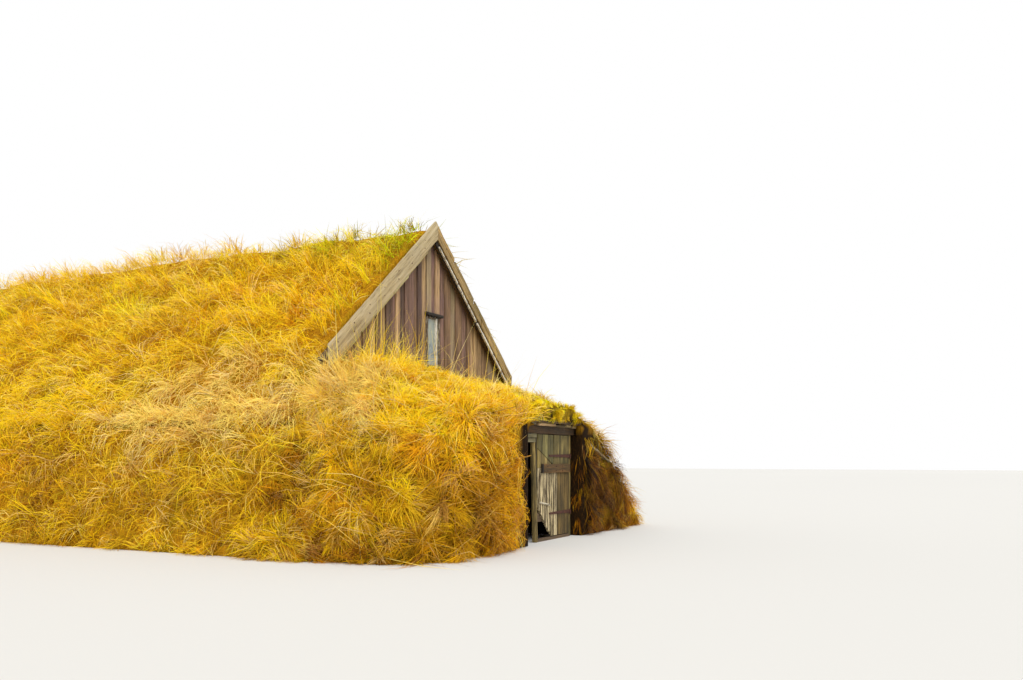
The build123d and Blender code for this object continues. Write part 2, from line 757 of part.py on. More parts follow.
with BuildPart() as door_outer_ledge:
    with BuildSketch(across(DOOR_Y - LEDGE_THICK)):
        outline(
            [
                (-OUTER_LEDGE_LEFT, OUTER_LEDGE_Z),
                (door_right_x - OUTER_LEDGE_INSET, OUTER_LEDGE_Z),
                (door_right_x - OUTER_LEDGE_INSET, OUTER_LEDGE_Z + LEDGE_HIGH),
                (-OUTER_LEDGE_LEFT, OUTER_LEDGE_Z + LEDGE_HIGH),
            ]
        )
    extrude(amount=-LEDGE_THICK)
keep(door_outer_ledge, "door_outer_ledge")

inner_ledge_left = door_left_x + INNER_LEDGE_INSETS[0]
inner_ledge_right = door_right_x - INNER_LEDGE_INSETS[1]
with BuildPart() as door_inner_ledges:
    with BuildSketch(across(DOOR_Y + DOOR_BOARD_THICK)):
        for z in INNER_LEDGE_ZS:
            outline(
                [
                    (inner_ledge_left, z),
                    (inner_ledge_right, z),
                    (inner_ledge_right, z + LEDGE_HIGH),
                    (inner_ledge_left, z + LEDGE_HIGH),
                ]
            )
    extrude(amount=-LEDGE_THICK)
keep(door_inner_ledges, "door_inner_ledges")

hinge_x = DOORWAY_RIGHT + HINGE_OUT
hinge_y = DOOR_Y - STRAP_THICK - HINGE_PROUD
hinge_axis = (hinge_x, hinge_y)
strap_end_x = hinge_x - KNUCKLE_R + STRAP_SHORT_OF_EYE
with BuildPart() as door_straps:
    for z in STRAP_ZS:
        with BuildSketch(across(DOOR_Y - STRAP_THICK)):
            outline(
                [
                    (strap_end_x, z),
                    (strap_end_x, z + STRAP_HIGH),
                    (hinge_x - STRAP_LONG, z + (STRAP_HIGH + STRAP_TIP_HIGH) / 2),
                    (hinge_x - STRAP_LONG, z + (STRAP_HIGH - STRAP_TIP_HIGH) / 2),
                ]
            )
        extrude(amount=-STRAP_THICK)
        with BuildSketch(Plane.XY.offset(z)):
            with Locations(hinge_axis):
                Circle(KNUCKLE_R)
        extrude(amount=STRAP_HIGH)
        with BuildSketch(Plane.XY.offset(z)):
            with Locations(hinge_axis):
                Circle(PINTLE_R + PINTLE_PLAY)
        extrude(amount=STRAP_HIGH, mode=Mode.SUBTRACT)
keep(door_straps, "door_straps")

# Pintles on the right jamb: a pin through each strap's eye, on a bracket that meets the jamb
with BuildPart() as door_pintles:
    for z in STRAP_ZS:
        seat_z = z - PINTLE_SEAT_GAP
        with BuildSketch(Plane.XY.offset(seat_z)):
            with Locations(hinge_axis):
                Circle(PINTLE_R)
        extrude(amount=STRAP_HIGH + PINTLE_PROUD)
        with BuildSketch(Plane.XY.offset(seat_z)):
            with Locations(hinge_axis):
                Circle(KNUCKLE_R)
            with Locations((hinge_x, (hinge_y + jamb_face_y) / 2)):
                Rectangle(2 * PINTLE_R, jamb_face_y - hinge_y)
        extrude(amount=-PINTLE_BRACKET_HIGH)
keep(door_pintles, "door_pintles")

latch_x = door_left_x + LATCH_INSET
with BuildPart() as door_latch:
    with BuildSketch(across(DOOR_Y - LATCH_SIDE)):
        outline(
            [
                (latch_x, LATCH_Z + LATCH_RISE),
                (latch_x, LATCH_Z + LATCH_RISE + LATCH_SIDE),
                (latch_x + LATCH_LONG, LATCH_Z + LATCH_SIDE),
                (latch_x + LATCH_LONG, LATCH_Z),
            ]
        )
    extrude(amount=-LATCH_SIDE)
keep(door_latch, "door_latch")
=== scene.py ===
# %% [markdown]
# # A turf house, dressed
# The solids of this house are already made, and this lesson gives them their looks. The real house is a
# timber gable packed round with sods, and the sods have grown a thick coat of long grass that has dried to
# straw. We load the solids first. They are the frame: nothing in them is moved, and every new piece
# is placed by them.

# %% Load the frame
import json
import math

import bmesh
import bpy
import numpy as np
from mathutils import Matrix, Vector
from mathutils.bvhtree import BVHTree
from mathutils.kdtree import KDTree


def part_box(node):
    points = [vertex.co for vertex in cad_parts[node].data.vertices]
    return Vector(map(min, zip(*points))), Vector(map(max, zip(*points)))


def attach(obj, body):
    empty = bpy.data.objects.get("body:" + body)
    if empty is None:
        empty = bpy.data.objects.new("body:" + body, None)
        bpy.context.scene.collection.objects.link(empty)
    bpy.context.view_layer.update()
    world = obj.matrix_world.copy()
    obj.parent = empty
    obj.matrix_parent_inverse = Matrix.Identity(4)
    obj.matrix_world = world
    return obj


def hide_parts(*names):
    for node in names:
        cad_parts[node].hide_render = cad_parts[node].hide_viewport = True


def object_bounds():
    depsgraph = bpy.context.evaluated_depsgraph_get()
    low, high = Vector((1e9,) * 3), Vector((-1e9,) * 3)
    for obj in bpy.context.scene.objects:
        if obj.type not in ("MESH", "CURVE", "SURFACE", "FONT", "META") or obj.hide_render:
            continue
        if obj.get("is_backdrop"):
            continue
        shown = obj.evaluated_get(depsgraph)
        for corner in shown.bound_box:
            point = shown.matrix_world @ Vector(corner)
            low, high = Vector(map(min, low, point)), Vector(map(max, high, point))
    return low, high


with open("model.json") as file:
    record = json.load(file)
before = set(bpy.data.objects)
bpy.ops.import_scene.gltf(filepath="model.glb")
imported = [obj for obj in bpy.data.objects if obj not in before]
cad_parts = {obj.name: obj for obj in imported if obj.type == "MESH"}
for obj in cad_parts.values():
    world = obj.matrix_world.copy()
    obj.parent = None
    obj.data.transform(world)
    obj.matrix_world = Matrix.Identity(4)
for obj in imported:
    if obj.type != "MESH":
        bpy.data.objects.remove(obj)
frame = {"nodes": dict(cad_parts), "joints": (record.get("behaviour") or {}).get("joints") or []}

solids = frame["nodes"]
cad_low, cad_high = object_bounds()
print("solids", len(solids), "box", [round(v, 3) for v in (*cad_low, *cad_high)])

# %% [markdown]
# ## Camera
# The picture to match was taken from low down, left of the door, with the camera held level and the frame
# pushed up. A level camera keeps the gable's planks upright in the picture, and the push is the
# lens shift. The place was worked out from how the ridge and the planks run in the picture.

# %% Camera
# where the camera stands, in metres, and the level way it looks
EYE = (-11.126, -12.323, 1.1)
LOOK_X, LOOK_Y = 0.8934, 0.4493
QUARTER = math.pi / 2
# the picture's size, how far the lens is from it, and where the horizon would run, all in pixels
IMAGE_WIDE, IMAGE_HIGH = 1023, 680
FOCAL_PIXELS = 900
HORIZON_ROW = 458
SENSOR_WIDE = 36

camera_data = bpy.data.cameras.new("camera")
camera_data.sensor_width = SENSOR_WIDE
camera_data.lens = SENSOR_WIDE * FOCAL_PIXELS / IMAGE_WIDE
camera_data.shift_y = (HORIZON_ROW - IMAGE_HIGH / 2) / IMAGE_WIDE
camera_data.clip_end = 400
camera = bpy.data.objects.new("camera", camera_data)
camera.location = EYE
camera.rotation_euler = (QUARTER, 0, -math.atan2(LOOK_X, LOOK_Y))
bpy.context.scene.collection.objects.link(camera)
bpy.context.scene.camera = camera
print("lens", round(camera_data.lens, 2), "mm")

# %% [markdown]
# ## Colours and nodes
# Colours are written as they look on a screen, in hex, and turned to the linear values that shaders
# work with. One small function adds a shader node, sets it up and joins it to what feeds it. A few
# more give the nodes that come back in every material a short name: a noise, a ramp of colours, a mix.
# So each material below reads as a short list of what it is made of.

# %% Colour and node helpers
def linear(hex_colour):
    """A screen colour such as #d3a31b, as linear red, green, blue and alpha."""
    screen = [int(hex_colour[i:i + 2], 16) / 255 for i in (1, 3, 5)]
    return [c / 12.92 if c <= 0.04045 else ((c + 0.055) / 1.055) ** 2.4 for c in screen] + [1.0]


def add_node(material, kind, inputs=None, stops=None, **settings):
    """Add a shader node. Inputs are values or other nodes' outputs; stops are a ramp's places and colours."""
    tree = material.node_tree
    node = tree.nodes.new("ShaderNode" + kind)
    for name, value in settings.items():
        setattr(node, name, value)
    for name, value in (inputs or {}).items():
        if isinstance(value, bpy.types.NodeSocket):
            tree.links.new(value, node.inputs[name])
        else:
            node.inputs[name].default_value = value
    if stops:
        elements = node.color_ramp.elements
        while len(elements) < len(stops):
            elements.new(0.5)
        for element, (place, colour) in zip(elements, stops):
            element.position = place
            element.color = linear(colour)
    return node


def object_place(material):
    """Places in the house's own space, in metres."""
    return add_node(material, "TexCoord").outputs["Object"]


def mapped(material, place, scale=(1, 1, 1), turn=(0, 0, 0)):
    """Places turned, or stretched so that a pattern in them comes out that many times finer."""
    return add_node(material, "Mapping", {"Vector": place, "Rotation": turn, "Scale": scale}).outputs[0]


def noise(material, place, scale, detail, roughness=0.5):
    """A cloudy noise, from 0 to 1."""
    inputs = {"Vector": place, "Scale": scale, "Detail": detail, "Roughness": roughness}
    return add_node(material, "TexNoise", inputs).outputs[0]


def fitted(material, value, low, high, to_low=0.0, to_high=1.0):
    """A value moved from one range to another, and held inside it."""
    inputs = {"Value": value, "From Min": low, "From Max": high, "To Min": to_low, "To Max": to_high}
    return add_node(material, "MapRange", inputs).outputs[0]


def ramp(material, value, *stops):
    """A colour for each value: the stops are places from 0 to 1 with their colours."""
    return add_node(material, "ValToRGB", {"Fac": value}, stops=stops).outputs[0]


def mixed(material, share, first, second, blend="MIX"):
    """A share of a second colour mixed into a first."""
    inputs = {0: share, 6: first, 7: second}
    return add_node(material, "Mix", inputs, data_type="RGBA", blend_type=blend).outputs[2]


def attribute(material, name, output="Color"):
    """A value that the mesh carries at each corner."""
    return add_node(material, "Attribute", attribute_name=name, attribute_type="GEOMETRY").outputs[output]


def new_material(name):
    """An empty material with nodes, and its output."""
    material = bpy.data.materials.new(name)
    material.use_nodes = True
    material.node_tree.nodes.clear()
    return material, add_node(material, "OutputMaterial")


def finish_surface(material, output, colour, roughness, bump=None, distance=0.01, strength=1.0, **sockets):
    """Join a colour, a roughness and a bump height into the surface shader."""
    shader = add_node(material, "BsdfPrincipled", {"Base Color": colour, "Roughness": roughness, **sockets})
    if bump is not None:
        bumped = add_node(material, "Bump", {"Height": bump, "Distance": distance, "Strength": strength})
        material.node_tree.links.new(bumped.outputs[0], shader.inputs["Normal"])
    material.node_tree.links.new(shader.outputs[0], output.inputs["Surface"])
    return shader


# %% [markdown]
# ## Old wood
# Every board on this house is bare softwood that has stood in the wet for decades. The soft part of each
# year's ring has washed out, so the surface is a comb of fine upright ridges, silvery where the sun has
# bleached it and nearly black in the cracks. One function makes this for any board: a noise drawn
# out long along the grain is the fibre, another with a sharp edge is the cracks, and a broad one is
# the stain. The grain width is in millimetres. Real fibre is about 1 mm wide, which is too fine to
# show from ten metres, so it is drawn 5 to 12 mm wide. Boards cut from several trees also get a tint of
# their own, which the material reads from an attribute and multiplies in.

# %% Wood material
def old_wood(
    name, light, middle, dark, crack, stain, grain_mm, turn=(0, 0, 0), stain_share=0.5, tinted=False,
):
    """Weathered softwood with its grain along the turned Z axis, and each board's own tint if it has one."""
    material, output = new_material(name)
    place = object_place(material)
    grain = mapped(material, place, turn=turn)
    # fibres 26 times as long as they are wide, and streaks six fibres wide
    across = 1000 / grain_mm
    fibre = noise(material, mapped(material, grain, (across, across, across / 26)), 1.0, 6.0, 0.62)
    streak = noise(material, mapped(material, grain, (across / 6, across / 6, across / 110)), 1.0, 3.0)
    worn = add_node(material, "Math", {0: fibre, 1: streak}, operation="ADD").outputs[0]
    worn = fitted(material, worn, 0.72, 1.28)
    wood = ramp(material, worn, (0.0, dark), (0.45, middle), (1.0, light))
    # stains in broad patches, and cracks where the fibre noise is lowest
    patch = fitted(material, noise(material, place, 2.2, 4.0, 0.6), 0.45, 0.68, 0.0, stain_share)
    wood = mixed(material, patch, wood, linear(stain))
    split = fitted(material, fibre, 0.33, 0.4, 0.85, 0.0)
    wood = mixed(material, split, wood, linear(crack))
    if tinted:
        wood = mixed(material, 1.0, wood, attribute(material, "board_tint"), "MULTIPLY")
    finish_surface(material, output, wood, 0.85, bump=worn, distance=0.006, strength=0.7)
    return material


# how far the roof drops for each metre outwards, and the turns that lay the grain along a board
SLOPE = 0.84
slope_angle = math.atan(SLOPE)
DOWN_LEFT = (0, slope_angle - QUARTER, 0)
DOWN_RIGHT = (0, QUARTER - slope_angle, 0)
ACROSS = (0, QUARTER, 0)
ALONG = (QUARTER, 0, 0)
FRAME_TIMBER = ("#7d6549", "#5d4830", "#3f301f", "#1c140c", "#54483a", 12)

planks_wood = old_wood(
    "weathered_pine_planks", "#a89276", "#7d6a52", "#51422f", "#1c140f", "#86706a", 9, tinted=True
)
left_barge_wood = old_wood(
    "weathered_pine_bargeboard_left", "#cdbc98", "#b3a078", "#8c7a58", "#4f402c", "#a39a86", 8,
    turn=DOWN_LEFT, stain_share=0.35, tinted=True,
)
right_barge_wood = old_wood(
    "weathered_pine_bargeboard_right", "#c0a570", "#9a7f50", "#655031", "#241a10", "#7b7040", 8,
    turn=DOWN_RIGHT, tinted=True,
)
door_wood = old_wood(
    "weathered_door_boards", "#b39d62", "#675832", "#2a2212", "#0e0a05", "#37341a", 8,
    stain_share=0.75, tinted=True,
)
lintel_wood = old_wood(
    "damp_beam_wood", "#77592f", "#4d3918", "#2d2110", "#120c06", "#3f3a1c", 9, turn=ACROSS, tinted=True
)
board_end_wood = old_wood(
    "broken_board_ends", "#b5a184", "#837253", "#4c3f28", "#1a130b", "#6a6540", 8, turn=ACROSS, tinted=True
)
# black wood as painted shade: behind the right bargeboard and on the window's drip board
shaded_wood = old_wood(
    "black_painted_shade_wood", "#3a2f24", "#221a12", "#120d08", "#060403", "#2a2618", 9, turn=ACROSS
)
bleached_wood = old_wood(
    "bleached_stick", "#e2d9c4", "#bdb196", "#857a60", "#4a4030", "#a8a088", 5, turn=ACROSS
)
frame_wood = old_wood("rough_roof_timber", *FRAME_TIMBER)
frame_wood_long = old_wood("rough_roof_timber_along", *FRAME_TIMBER, turn=ALONG)
crossing_wood = old_wood("rough_tie_timber", *FRAME_TIMBER, turn=ACROSS)
rafter_wood = {
    "left": old_wood("rough_rafter_left", *FRAME_TIMBER, turn=DOWN_LEFT),
    "right": old_wood("rough_rafter_right", *FRAME_TIMBER, turn=DOWN_RIGHT),
}
print("wood finishes", len([m for m in bpy.data.materials if "wood" in m.name or "timber" in m.name]))

# %% [markdown]
# ## Stone, glass, paint and iron
# The footing inside is field stone, basalt, laid dry. The window is old drawn glass, dulled by weather
# on both faces. Its frame has white lead paint that flakes off down to grey wood. The
# hinge straps are wrought iron, rusted dark.

# %% Other finishes
def dry_stone(name, light, dark, joint):
    """Dry-laid basalt: courses of rough stones drawn by a cell pattern that is wider than it is high."""
    material, output = new_material(name)
    place = object_place(material)
    coursed = {"Vector": mapped(material, place, (3.2, 3.2, 6.5)), "Scale": 1.0, "Randomness": 0.85}
    edge = add_node(material, "TexVoronoi", coursed, feature="DISTANCE_TO_EDGE").outputs["Distance"]
    stone = ramp(material, noise(material, place, 9.0, 6.0), (0.3, dark), (0.7, light))
    stone = mixed(material, fitted(material, edge, 0.0, 0.09, 1.0, 0.0), stone, linear(joint))
    finish_surface(material, output, stone, 0.9, bump=fitted(material, edge, 0.0, 0.12), distance=0.04)
    return material


def flaked_paint(name, paint, bare, share, stretch=9, edge=0.02):
    """Paint flaked off along the grain, down to the wood. A low stretch draws the flakes out longer."""
    material, output = new_material(name)
    place = object_place(material)
    flake = noise(material, mapped(material, place, (70, 70, stretch)), 1.0, 5.0, 0.7)
    left = fitted(material, flake, share - edge, share + edge)
    colour = mixed(material, left, linear(bare), linear(paint))
    rough = fitted(material, left, 0.0, 1.0, 0.9, 0.5)
    finish_surface(material, output, colour, rough, bump=left, distance=0.0015)
    return material


def dull_glass(name, clear, bloom):
    """Old window glass: it mirrors the sky softly, with the grey-blue of its clear parts painted in as
    reflection, under a bloom of lime and dust.
    """
    material, output = new_material(name)
    bloomed = noise(material, object_place(material), 7.0, 5.0, 0.6)
    colour = ramp(material, bloomed, (0.3, clear), (0.7, bloom))
    rough = fitted(material, bloomed, 0.0, 1.0, 0.12, 0.5)
    finish_surface(material, output, colour, rough, IOR=1.52)
    return material


def rusted_iron(name, light, dark):
    """Wrought iron under a crust of rust: dull, pitted, and no longer metallic to the eye."""
    material, output = new_material(name)
    pits = noise(material, object_place(material), 60.0, 8.0, 0.7)
    colour = ramp(material, pits, (0.35, dark), (0.65, light))
    finish_surface(material, output, colour, 0.8, bump=pits, distance=0.002)
    return material


footing_stone = dry_stone("dry_laid_basalt", "#5d5953", "#38342f", "#1a1512")
white_paint = flaked_paint("flaked_white_paint", "#ded8c8", "#8b8374", 0.46)
worn_paint = flaked_paint("worn_off_white_paint", "#a39c8a", "#57493a", 0.56)
streaked_paint = flaked_paint("washed_out_door_paint", "#e4cf9e", "#3d2e15", 0.52, stretch=2.6, edge=0.05)
# the clear glass's grey-blue is a painted reflection of the sky; the paler bloom is lime and dust
window_pane = dull_glass("dull_window_glass", "#76838a", "#a3a897")
rust = rusted_iron("rusted_wrought_iron", "#5a301c", "#2c150c")
print("finishes", len(bpy.data.materials))

# %% [markdown]
# ## The solids that keep their shape
# The timbers inside the room and the small ironwork of the door already have their real shape, so they
# stay, and each gets the finish of what it is made of. The grain runs along the timber: up in a post,
# along the house in a plate, and across the front in a tie beam.

# %% Finishes on the solids
def finish(piece, material):
    """Give a piece one material."""
    piece.data.materials.clear()
    piece.data.materials.append(material)


KEPT_SOLIDS = (
    (frame_wood, ("left_posts", "right_posts", "king_posts", "window_studs")),
    (frame_wood_long, ("left_wall_plate", "right_wall_plate", "ridge_beam")),
    (frame_wood_long, ("porch_roof_boards", "left_roof_boards", "right_roof_boards")),
    (crossing_wood, ("tie_beams", "gable_sill_beam", "door_inner_ledges", "door_sill")),
    (rafter_wood["left"], ("left_rafters", "left_verge_board")),
    (rafter_wood["right"], ("right_rafters", "right_verge_board")),
    (footing_stone, ("left_stone_footing", "right_stone_footing")),
    (window_pane, ("window_glass",)),
    (rust, ("door_straps", "door_pintles")),
)
for material, names in KEPT_SOLIDS:
    for name in names:
        finish(solids[name], material)
print("solids that keep their shape", sum(len(names) for _, names in KEPT_SOLIDS))

# %% [markdown]
# ## Working boards one by one
# No old board is true any more. Its edges are worn round, its faces have washed out in ripples a hand
# long, and its ends have splintered. Each board below starts as a block at its real size and
# place. It is divided along its grain, its sharp edges are bevelled, and a cloud-like
# displacement pushes the faces in and out by a few millimetres. The clouds are read in the house's own
# space, so no two boards come out alike. Slanting ends are sawn off with the bisect tool.

# %% Board helpers
weather_clouds = bpy.data.textures.new("weather_clouds", "CLOUDS")
weather_clouds.noise_scale = 0.16
weather_clouds.noise_depth = 3


def select_only(piece):
    """Make one piece the only selected and active one."""
    bpy.ops.object.select_all(action="DESELECT")
    bpy.context.view_layer.objects.active = piece
    piece.select_set(True)


def block(name, low, high, turn=0.0):
    """A block between two corners, turned about the house's long axis, with its place in its mesh."""
    bpy.ops.object.select_all(action="DESELECT")
    middle = [(a + b) / 2 for a, b in zip(low, high)]
    size = [b - a for a, b in zip(low, high)]
    bpy.ops.mesh.primitive_cube_add(size=1, location=middle, rotation=(0, turn, 0), scale=size)
    bpy.context.object.name = name
    bpy.ops.object.transform_apply(location=True, rotation=True, scale=True)
    return bpy.context.object


def divide(piece, along, cuts):
    """Cut the edges that run along a direction into even lengths."""
    select_only(piece)
    bpy.ops.object.mode_set(mode="EDIT")
    bpy.ops.mesh.select_mode(type="EDGE")
    bpy.ops.mesh.select_all(action="DESELECT")
    mesh = bmesh.from_edit_mesh(piece.data)
    for edge in mesh.edges:
        run = (edge.verts[1].co - edge.verts[0].co).normalized()
        edge.select_set(abs(run.dot(Vector(along))) > 0.99)
    bmesh.update_edit_mesh(piece.data)
    bpy.ops.mesh.subdivide(number_cuts=cuts)
    bpy.ops.object.mode_set(mode="OBJECT")


def saw(piece, point, waste):
    """Saw a piece through at a plane, take away the side that waste points to, and close the cut."""
    select_only(piece)
    bpy.ops.object.mode_set(mode="EDIT")
    bpy.ops.mesh.select_mode(type="VERT")
    bpy.ops.mesh.select_all(action="SELECT")
    bpy.ops.mesh.bisect(plane_co=point, plane_no=waste, use_fill=True, clear_outer=True)
    bpy.ops.object.mode_set(mode="OBJECT")


def weather(piece, depth=0.005, wear=0.004):
    """Wear a piece's edges round and ripple its faces."""
    select_only(piece)
    if wear:
        bevel = piece.modifiers.new("worn_edges", "BEVEL")
        bevel.width = wear
        bevel.segments = 2
        bevel.limit_method = "ANGLE"
        bpy.ops.object.modifier_apply(modifier=bevel.name)
    ripple = piece.modifiers.new("ripples", "DISPLACE")
    ripple.texture = weather_clouds
    ripple.texture_coords = "LOCAL"
    ripple.strength = 2 * depth
    ripple.mid_level = 0.5
    bpy.ops.object.modifier_apply(modifier=ripple.name)
    bpy.ops.object.shade_smooth_by_angle(angle=math.radians(35))


def tone(piece, colour):
    """Write one tint on all of a board, as an attribute that its material multiplies in."""
    tints = piece.data.color_attributes.new("board_tint", "FLOAT_COLOR", "POINT")
    tints.data.foreach_set("color", np.tile([*colour, 1.0], len(piece.data.vertices)))


def remade(name, new_name, voxel):
    """A copy of a solid, merged and remade in even small faces by a voxel remesh."""
    piece = bpy.data.objects.new(new_name, solids[name].data.copy())
    bpy.context.scene.collection.objects.link(piece)
    select_only(piece)
    bpy.ops.object.mode_set(mode="EDIT")
    bpy.ops.mesh.select_all(action="SELECT")
    bpy.ops.mesh.remove_doubles(threshold=0.0002)
    bpy.ops.object.mode_set(mode="OBJECT")
    piece.data.remesh_voxel_size = voxel
    bpy.ops.object.voxel_remesh()
    return piece


def join(pieces, name, body="house"):
    """Join boards into one named piece that rides on a body."""
    bpy.ops.object.select_all(action="DESELECT")
    for piece in pieces:
        piece.select_set(True)
    bpy.context.view_layer.objects.active = pieces[0]
    bpy.ops.object.join()
    joined = bpy.context.object
    joined.name = name
    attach(joined, body)
    print(name, "boards", len(pieces), "triangles", sum(len(f.vertices) - 2 for f in joined.data.polygons))
    return joined


# %% [markdown]
# ## Gable planks
# The gable is closed with upright pine planks, nailed to the frame from outside. They came from different
# trees and have weathered apart: some tan, some grey, some nearly purple, with black
# seams between them. Every second one stands a finger's breadth proud, as boards nailed over the gaps do. One
# plank is modelled and copied, and each copy is set to its own width, pushed to its place, sawn off along
# the roof's slope, and cut round the window where it meets it.

# %% Plank tints and widths
TINTS = {
    "tan": (1.6, 1.46, 1.1), "pale": (2.1, 1.9, 1.5), "brown": (1.08, 0.94, 0.72), "umber": (0.8, 0.66, 0.56),
    "purple": (0.86, 0.7, 0.8), "dark": (0.52, 0.44, 0.48), "grey": (1.22, 1.26, 1.12),
}
# where each plank's left edge is, from the left end to the right, and its tint
PLANKS = (
    (-2.44, "tan"), (-2.28, "brown"), (-2.15, "tan"), (-1.95, "brown"), (-1.74, "tan"), (-1.59, "brown"),
    (-1.43, "pale"), (-1.3, "brown"), (-1.19, "tan"), (-1.07, "dark"), (-0.95, "purple"), (-0.83, "pale"),
    (-0.73, "dark"), (-0.61, "purple"), (-0.38, "umber"), (-0.28, "dark"), (-0.17, "tan"), (-0.04, "grey"),
    (0.09, "purple"), (0.2, "pale"), (0.325, "purple"), (0.47, "umber"), (0.64, "grey"), (0.79, "umber"),
    (0.98, "purple"), (1.13, "umber"), (1.26, "pale"), (1.36, "tan"), (1.59, "brown"), (1.83, "grey"),
    (2.11, "tan"), (2.3, "brown"), (2.44, None),
)
SEAM = 0.01
PLANK_PROUD = 0.016
CUT_GAP = 0.004
WINDOW_MIDDLE_SEAM = 0.13

# %% Planks
plank_low, plank_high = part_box("gable_planks")
GABLE_FACE = plank_low.y
window_low, window_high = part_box("window_frame")
up_left = Vector((-math.sin(slope_angle), 0, math.cos(slope_angle)))
up_right = Vector((math.sin(slope_angle), 0, math.cos(slope_angle)))
plank_apex = (0, 0, plank_high.z)
first_plank = block("plank", (0, plank_low.y, plank_low.z), (1, plank_high.y, plank_high.z))
divide(first_plank, (0, 0, 1), 18)


def plank(left, right, foot, tint, proud):
    """A copy of the plank, set to its width and place and sawn along both slopes."""
    piece = bpy.data.objects.new("plank", first_plank.data.copy())
    bpy.context.scene.collection.objects.link(piece)
    select_only(piece)
    piece.scale = (right - left - SEAM, 1, 1)
    piece.location = (left + SEAM / 2, -proud, 0)
    bpy.ops.object.transform_apply(location=True, rotation=True, scale=True)
    saw(piece, plank_apex, up_left)
    saw(piece, plank_apex, up_right)
    if foot > plank_low.z:
        saw(piece, (0, 0, foot), (0, 0, -1))
    weather(piece, 0.0045, 0.003)
    tone(piece, TINTS[tint])
    return piece


gable_boards = []
for i, ((left, tint), (right, _)) in enumerate(zip(PLANKS, PLANKS[1:])):
    over_window = left > window_low.x - 0.03 and right < window_high.x + 0.03
    foot = window_high.z + CUT_GAP if over_window else plank_low.z
    gable_boards.append(plank(left, right, foot, tint, PLANK_PROUD if i % 2 else 0.0))
for left, right in ((-0.04, WINDOW_MIDDLE_SEAM), (WINDOW_MIDDLE_SEAM, 0.325)):
    below = plank(left, right, plank_low.z, "brown", 0.0)
    saw(below, (0, 0, window_low.z - CUT_GAP), (0, 0, 1))
    gable_boards.append(below)
bpy.data.objects.remove(first_plank)
planks = join(gable_boards, "gable_plank_boards")
finish(planks, planks_wood)
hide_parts("gable_planks")

# %% [markdown]
# ## Bargeboards
# Wide boards stand in front of the gable along both slopes and keep the wind off the turf's
# edge. The left one is whole, with a narrow strip nailed behind its lower edge that has broken
# into uneven lengths. The right one has long splits: it is built here as the strips that the splits
# have left, a few millimetres apart, because a real gap takes the light as no painted line does.
# Each strip is a block turned to the slope and sawn plumb at its ends.

# %% Boards along the slope
barge_low, barge_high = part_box("left_bargeboard")
BARGE_FRONT, BARGE_BACK = barge_low.y, barge_high.y
BARGE_APEX = barge_high.z
BARGE_WIDE = 0.23
BARGE_FOOT = 2.44
BUTT_X = 0.06
DIVISION = 0.07
SAWN_OFF = 0.35


def slope_strip(side, start, end, top, wide, front=BARGE_FRONT, back=BARGE_BACK, depth=0.01):
    """A strip along one slope, from start to end outwards, with its top so far under the outer edge."""
    sign = -1 if side == "left" else 1
    middle_x = (start + end) / 2
    outer = Vector((sign * middle_x, 0, BARGE_APEX - SLOPE * middle_x))
    across_grain = up_left if side == "left" else up_right
    centre = outer - across_grain * (top + wide / 2)
    half = (end - start) / math.cos(slope_angle) / 2 + SAWN_OFF
    piece = block(
        "strip", (centre.x - half, front, centre.z - wide / 2), (centre.x + half, back, centre.z + wide / 2),
        turn=sign * slope_angle,
    )
    along = (math.cos(slope_angle), 0, -sign * math.sin(slope_angle))
    divide(piece, along, max(4, int((end - start) / DIVISION)))
    saw(piece, (sign * end, 0, 0), (sign, 0, 0))
    saw(piece, (sign * start, 0, 0), (-sign, 0, 0))
    weather(piece, depth, 0.004)
    return piece


# the left board, sawn plumb at the top, and the broken strip that peeps out from behind its lower edge
left_strips = [slope_strip("left", -BUTT_X, BARGE_FOOT, 0.0, BARGE_WIDE)]
saw(left_strips[0], (0, 0, BARGE_APEX), up_right)
BEHIND_BOARD = 0.03
STRIP_FRONT, STRIP_BACK = BARGE_BACK + 0.002, BARGE_BACK + 0.024
for start, end, below in ((0.16, 0.66, 0.038), (0.67, 1.02, 0.052), (1.04, 1.75, 0.045), (1.77, 2.4, 0.06)):
    left_strips.append(slope_strip(
        "left", start, end, BARGE_WIDE - BEHIND_BOARD, below + BEHIND_BOARD, STRIP_FRONT, STRIP_BACK
    ))
for piece in left_strips:
    tone(piece, (1.0, 1.0, 1.0) if piece is left_strips[0] else (1.12, 1.2, 1.05))
left_barge = join(left_strips, "left_bargeboard_strips")
finish(left_barge, left_barge_wood)
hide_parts("left_bargeboard")

# the right board's strips: from and to, how far under the upper edge, how wide, and the tint
RIGHT_STRIPS = (
    (BUTT_X, 0.52, 0.0, 0.055, (1.2, 1.15, 1.05)), (BUTT_X + 0.004, 1.35, 0.061, 0.095, (1.0, 1.0, 1.0)),
    (0.56, 1.12, 0.004, 0.052, (0.9, 0.92, 0.9)), (1.16, BARGE_FOOT, 0.0, 0.06, (0.82, 0.82, 0.72)),
    (1.38, BARGE_FOOT, 0.064, 0.092, (0.9, 0.88, 0.78)),
)
right_strips = []
for start, end, top, wide, tint in RIGHT_STRIPS:
    right_strips.append(slope_strip("right", start, end, top, wide))
    tone(right_strips[-1], tint)
right_barge = join(right_strips, "right_bargeboard_strips")
finish(right_barge, right_barge_wood)
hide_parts("right_bargeboard")
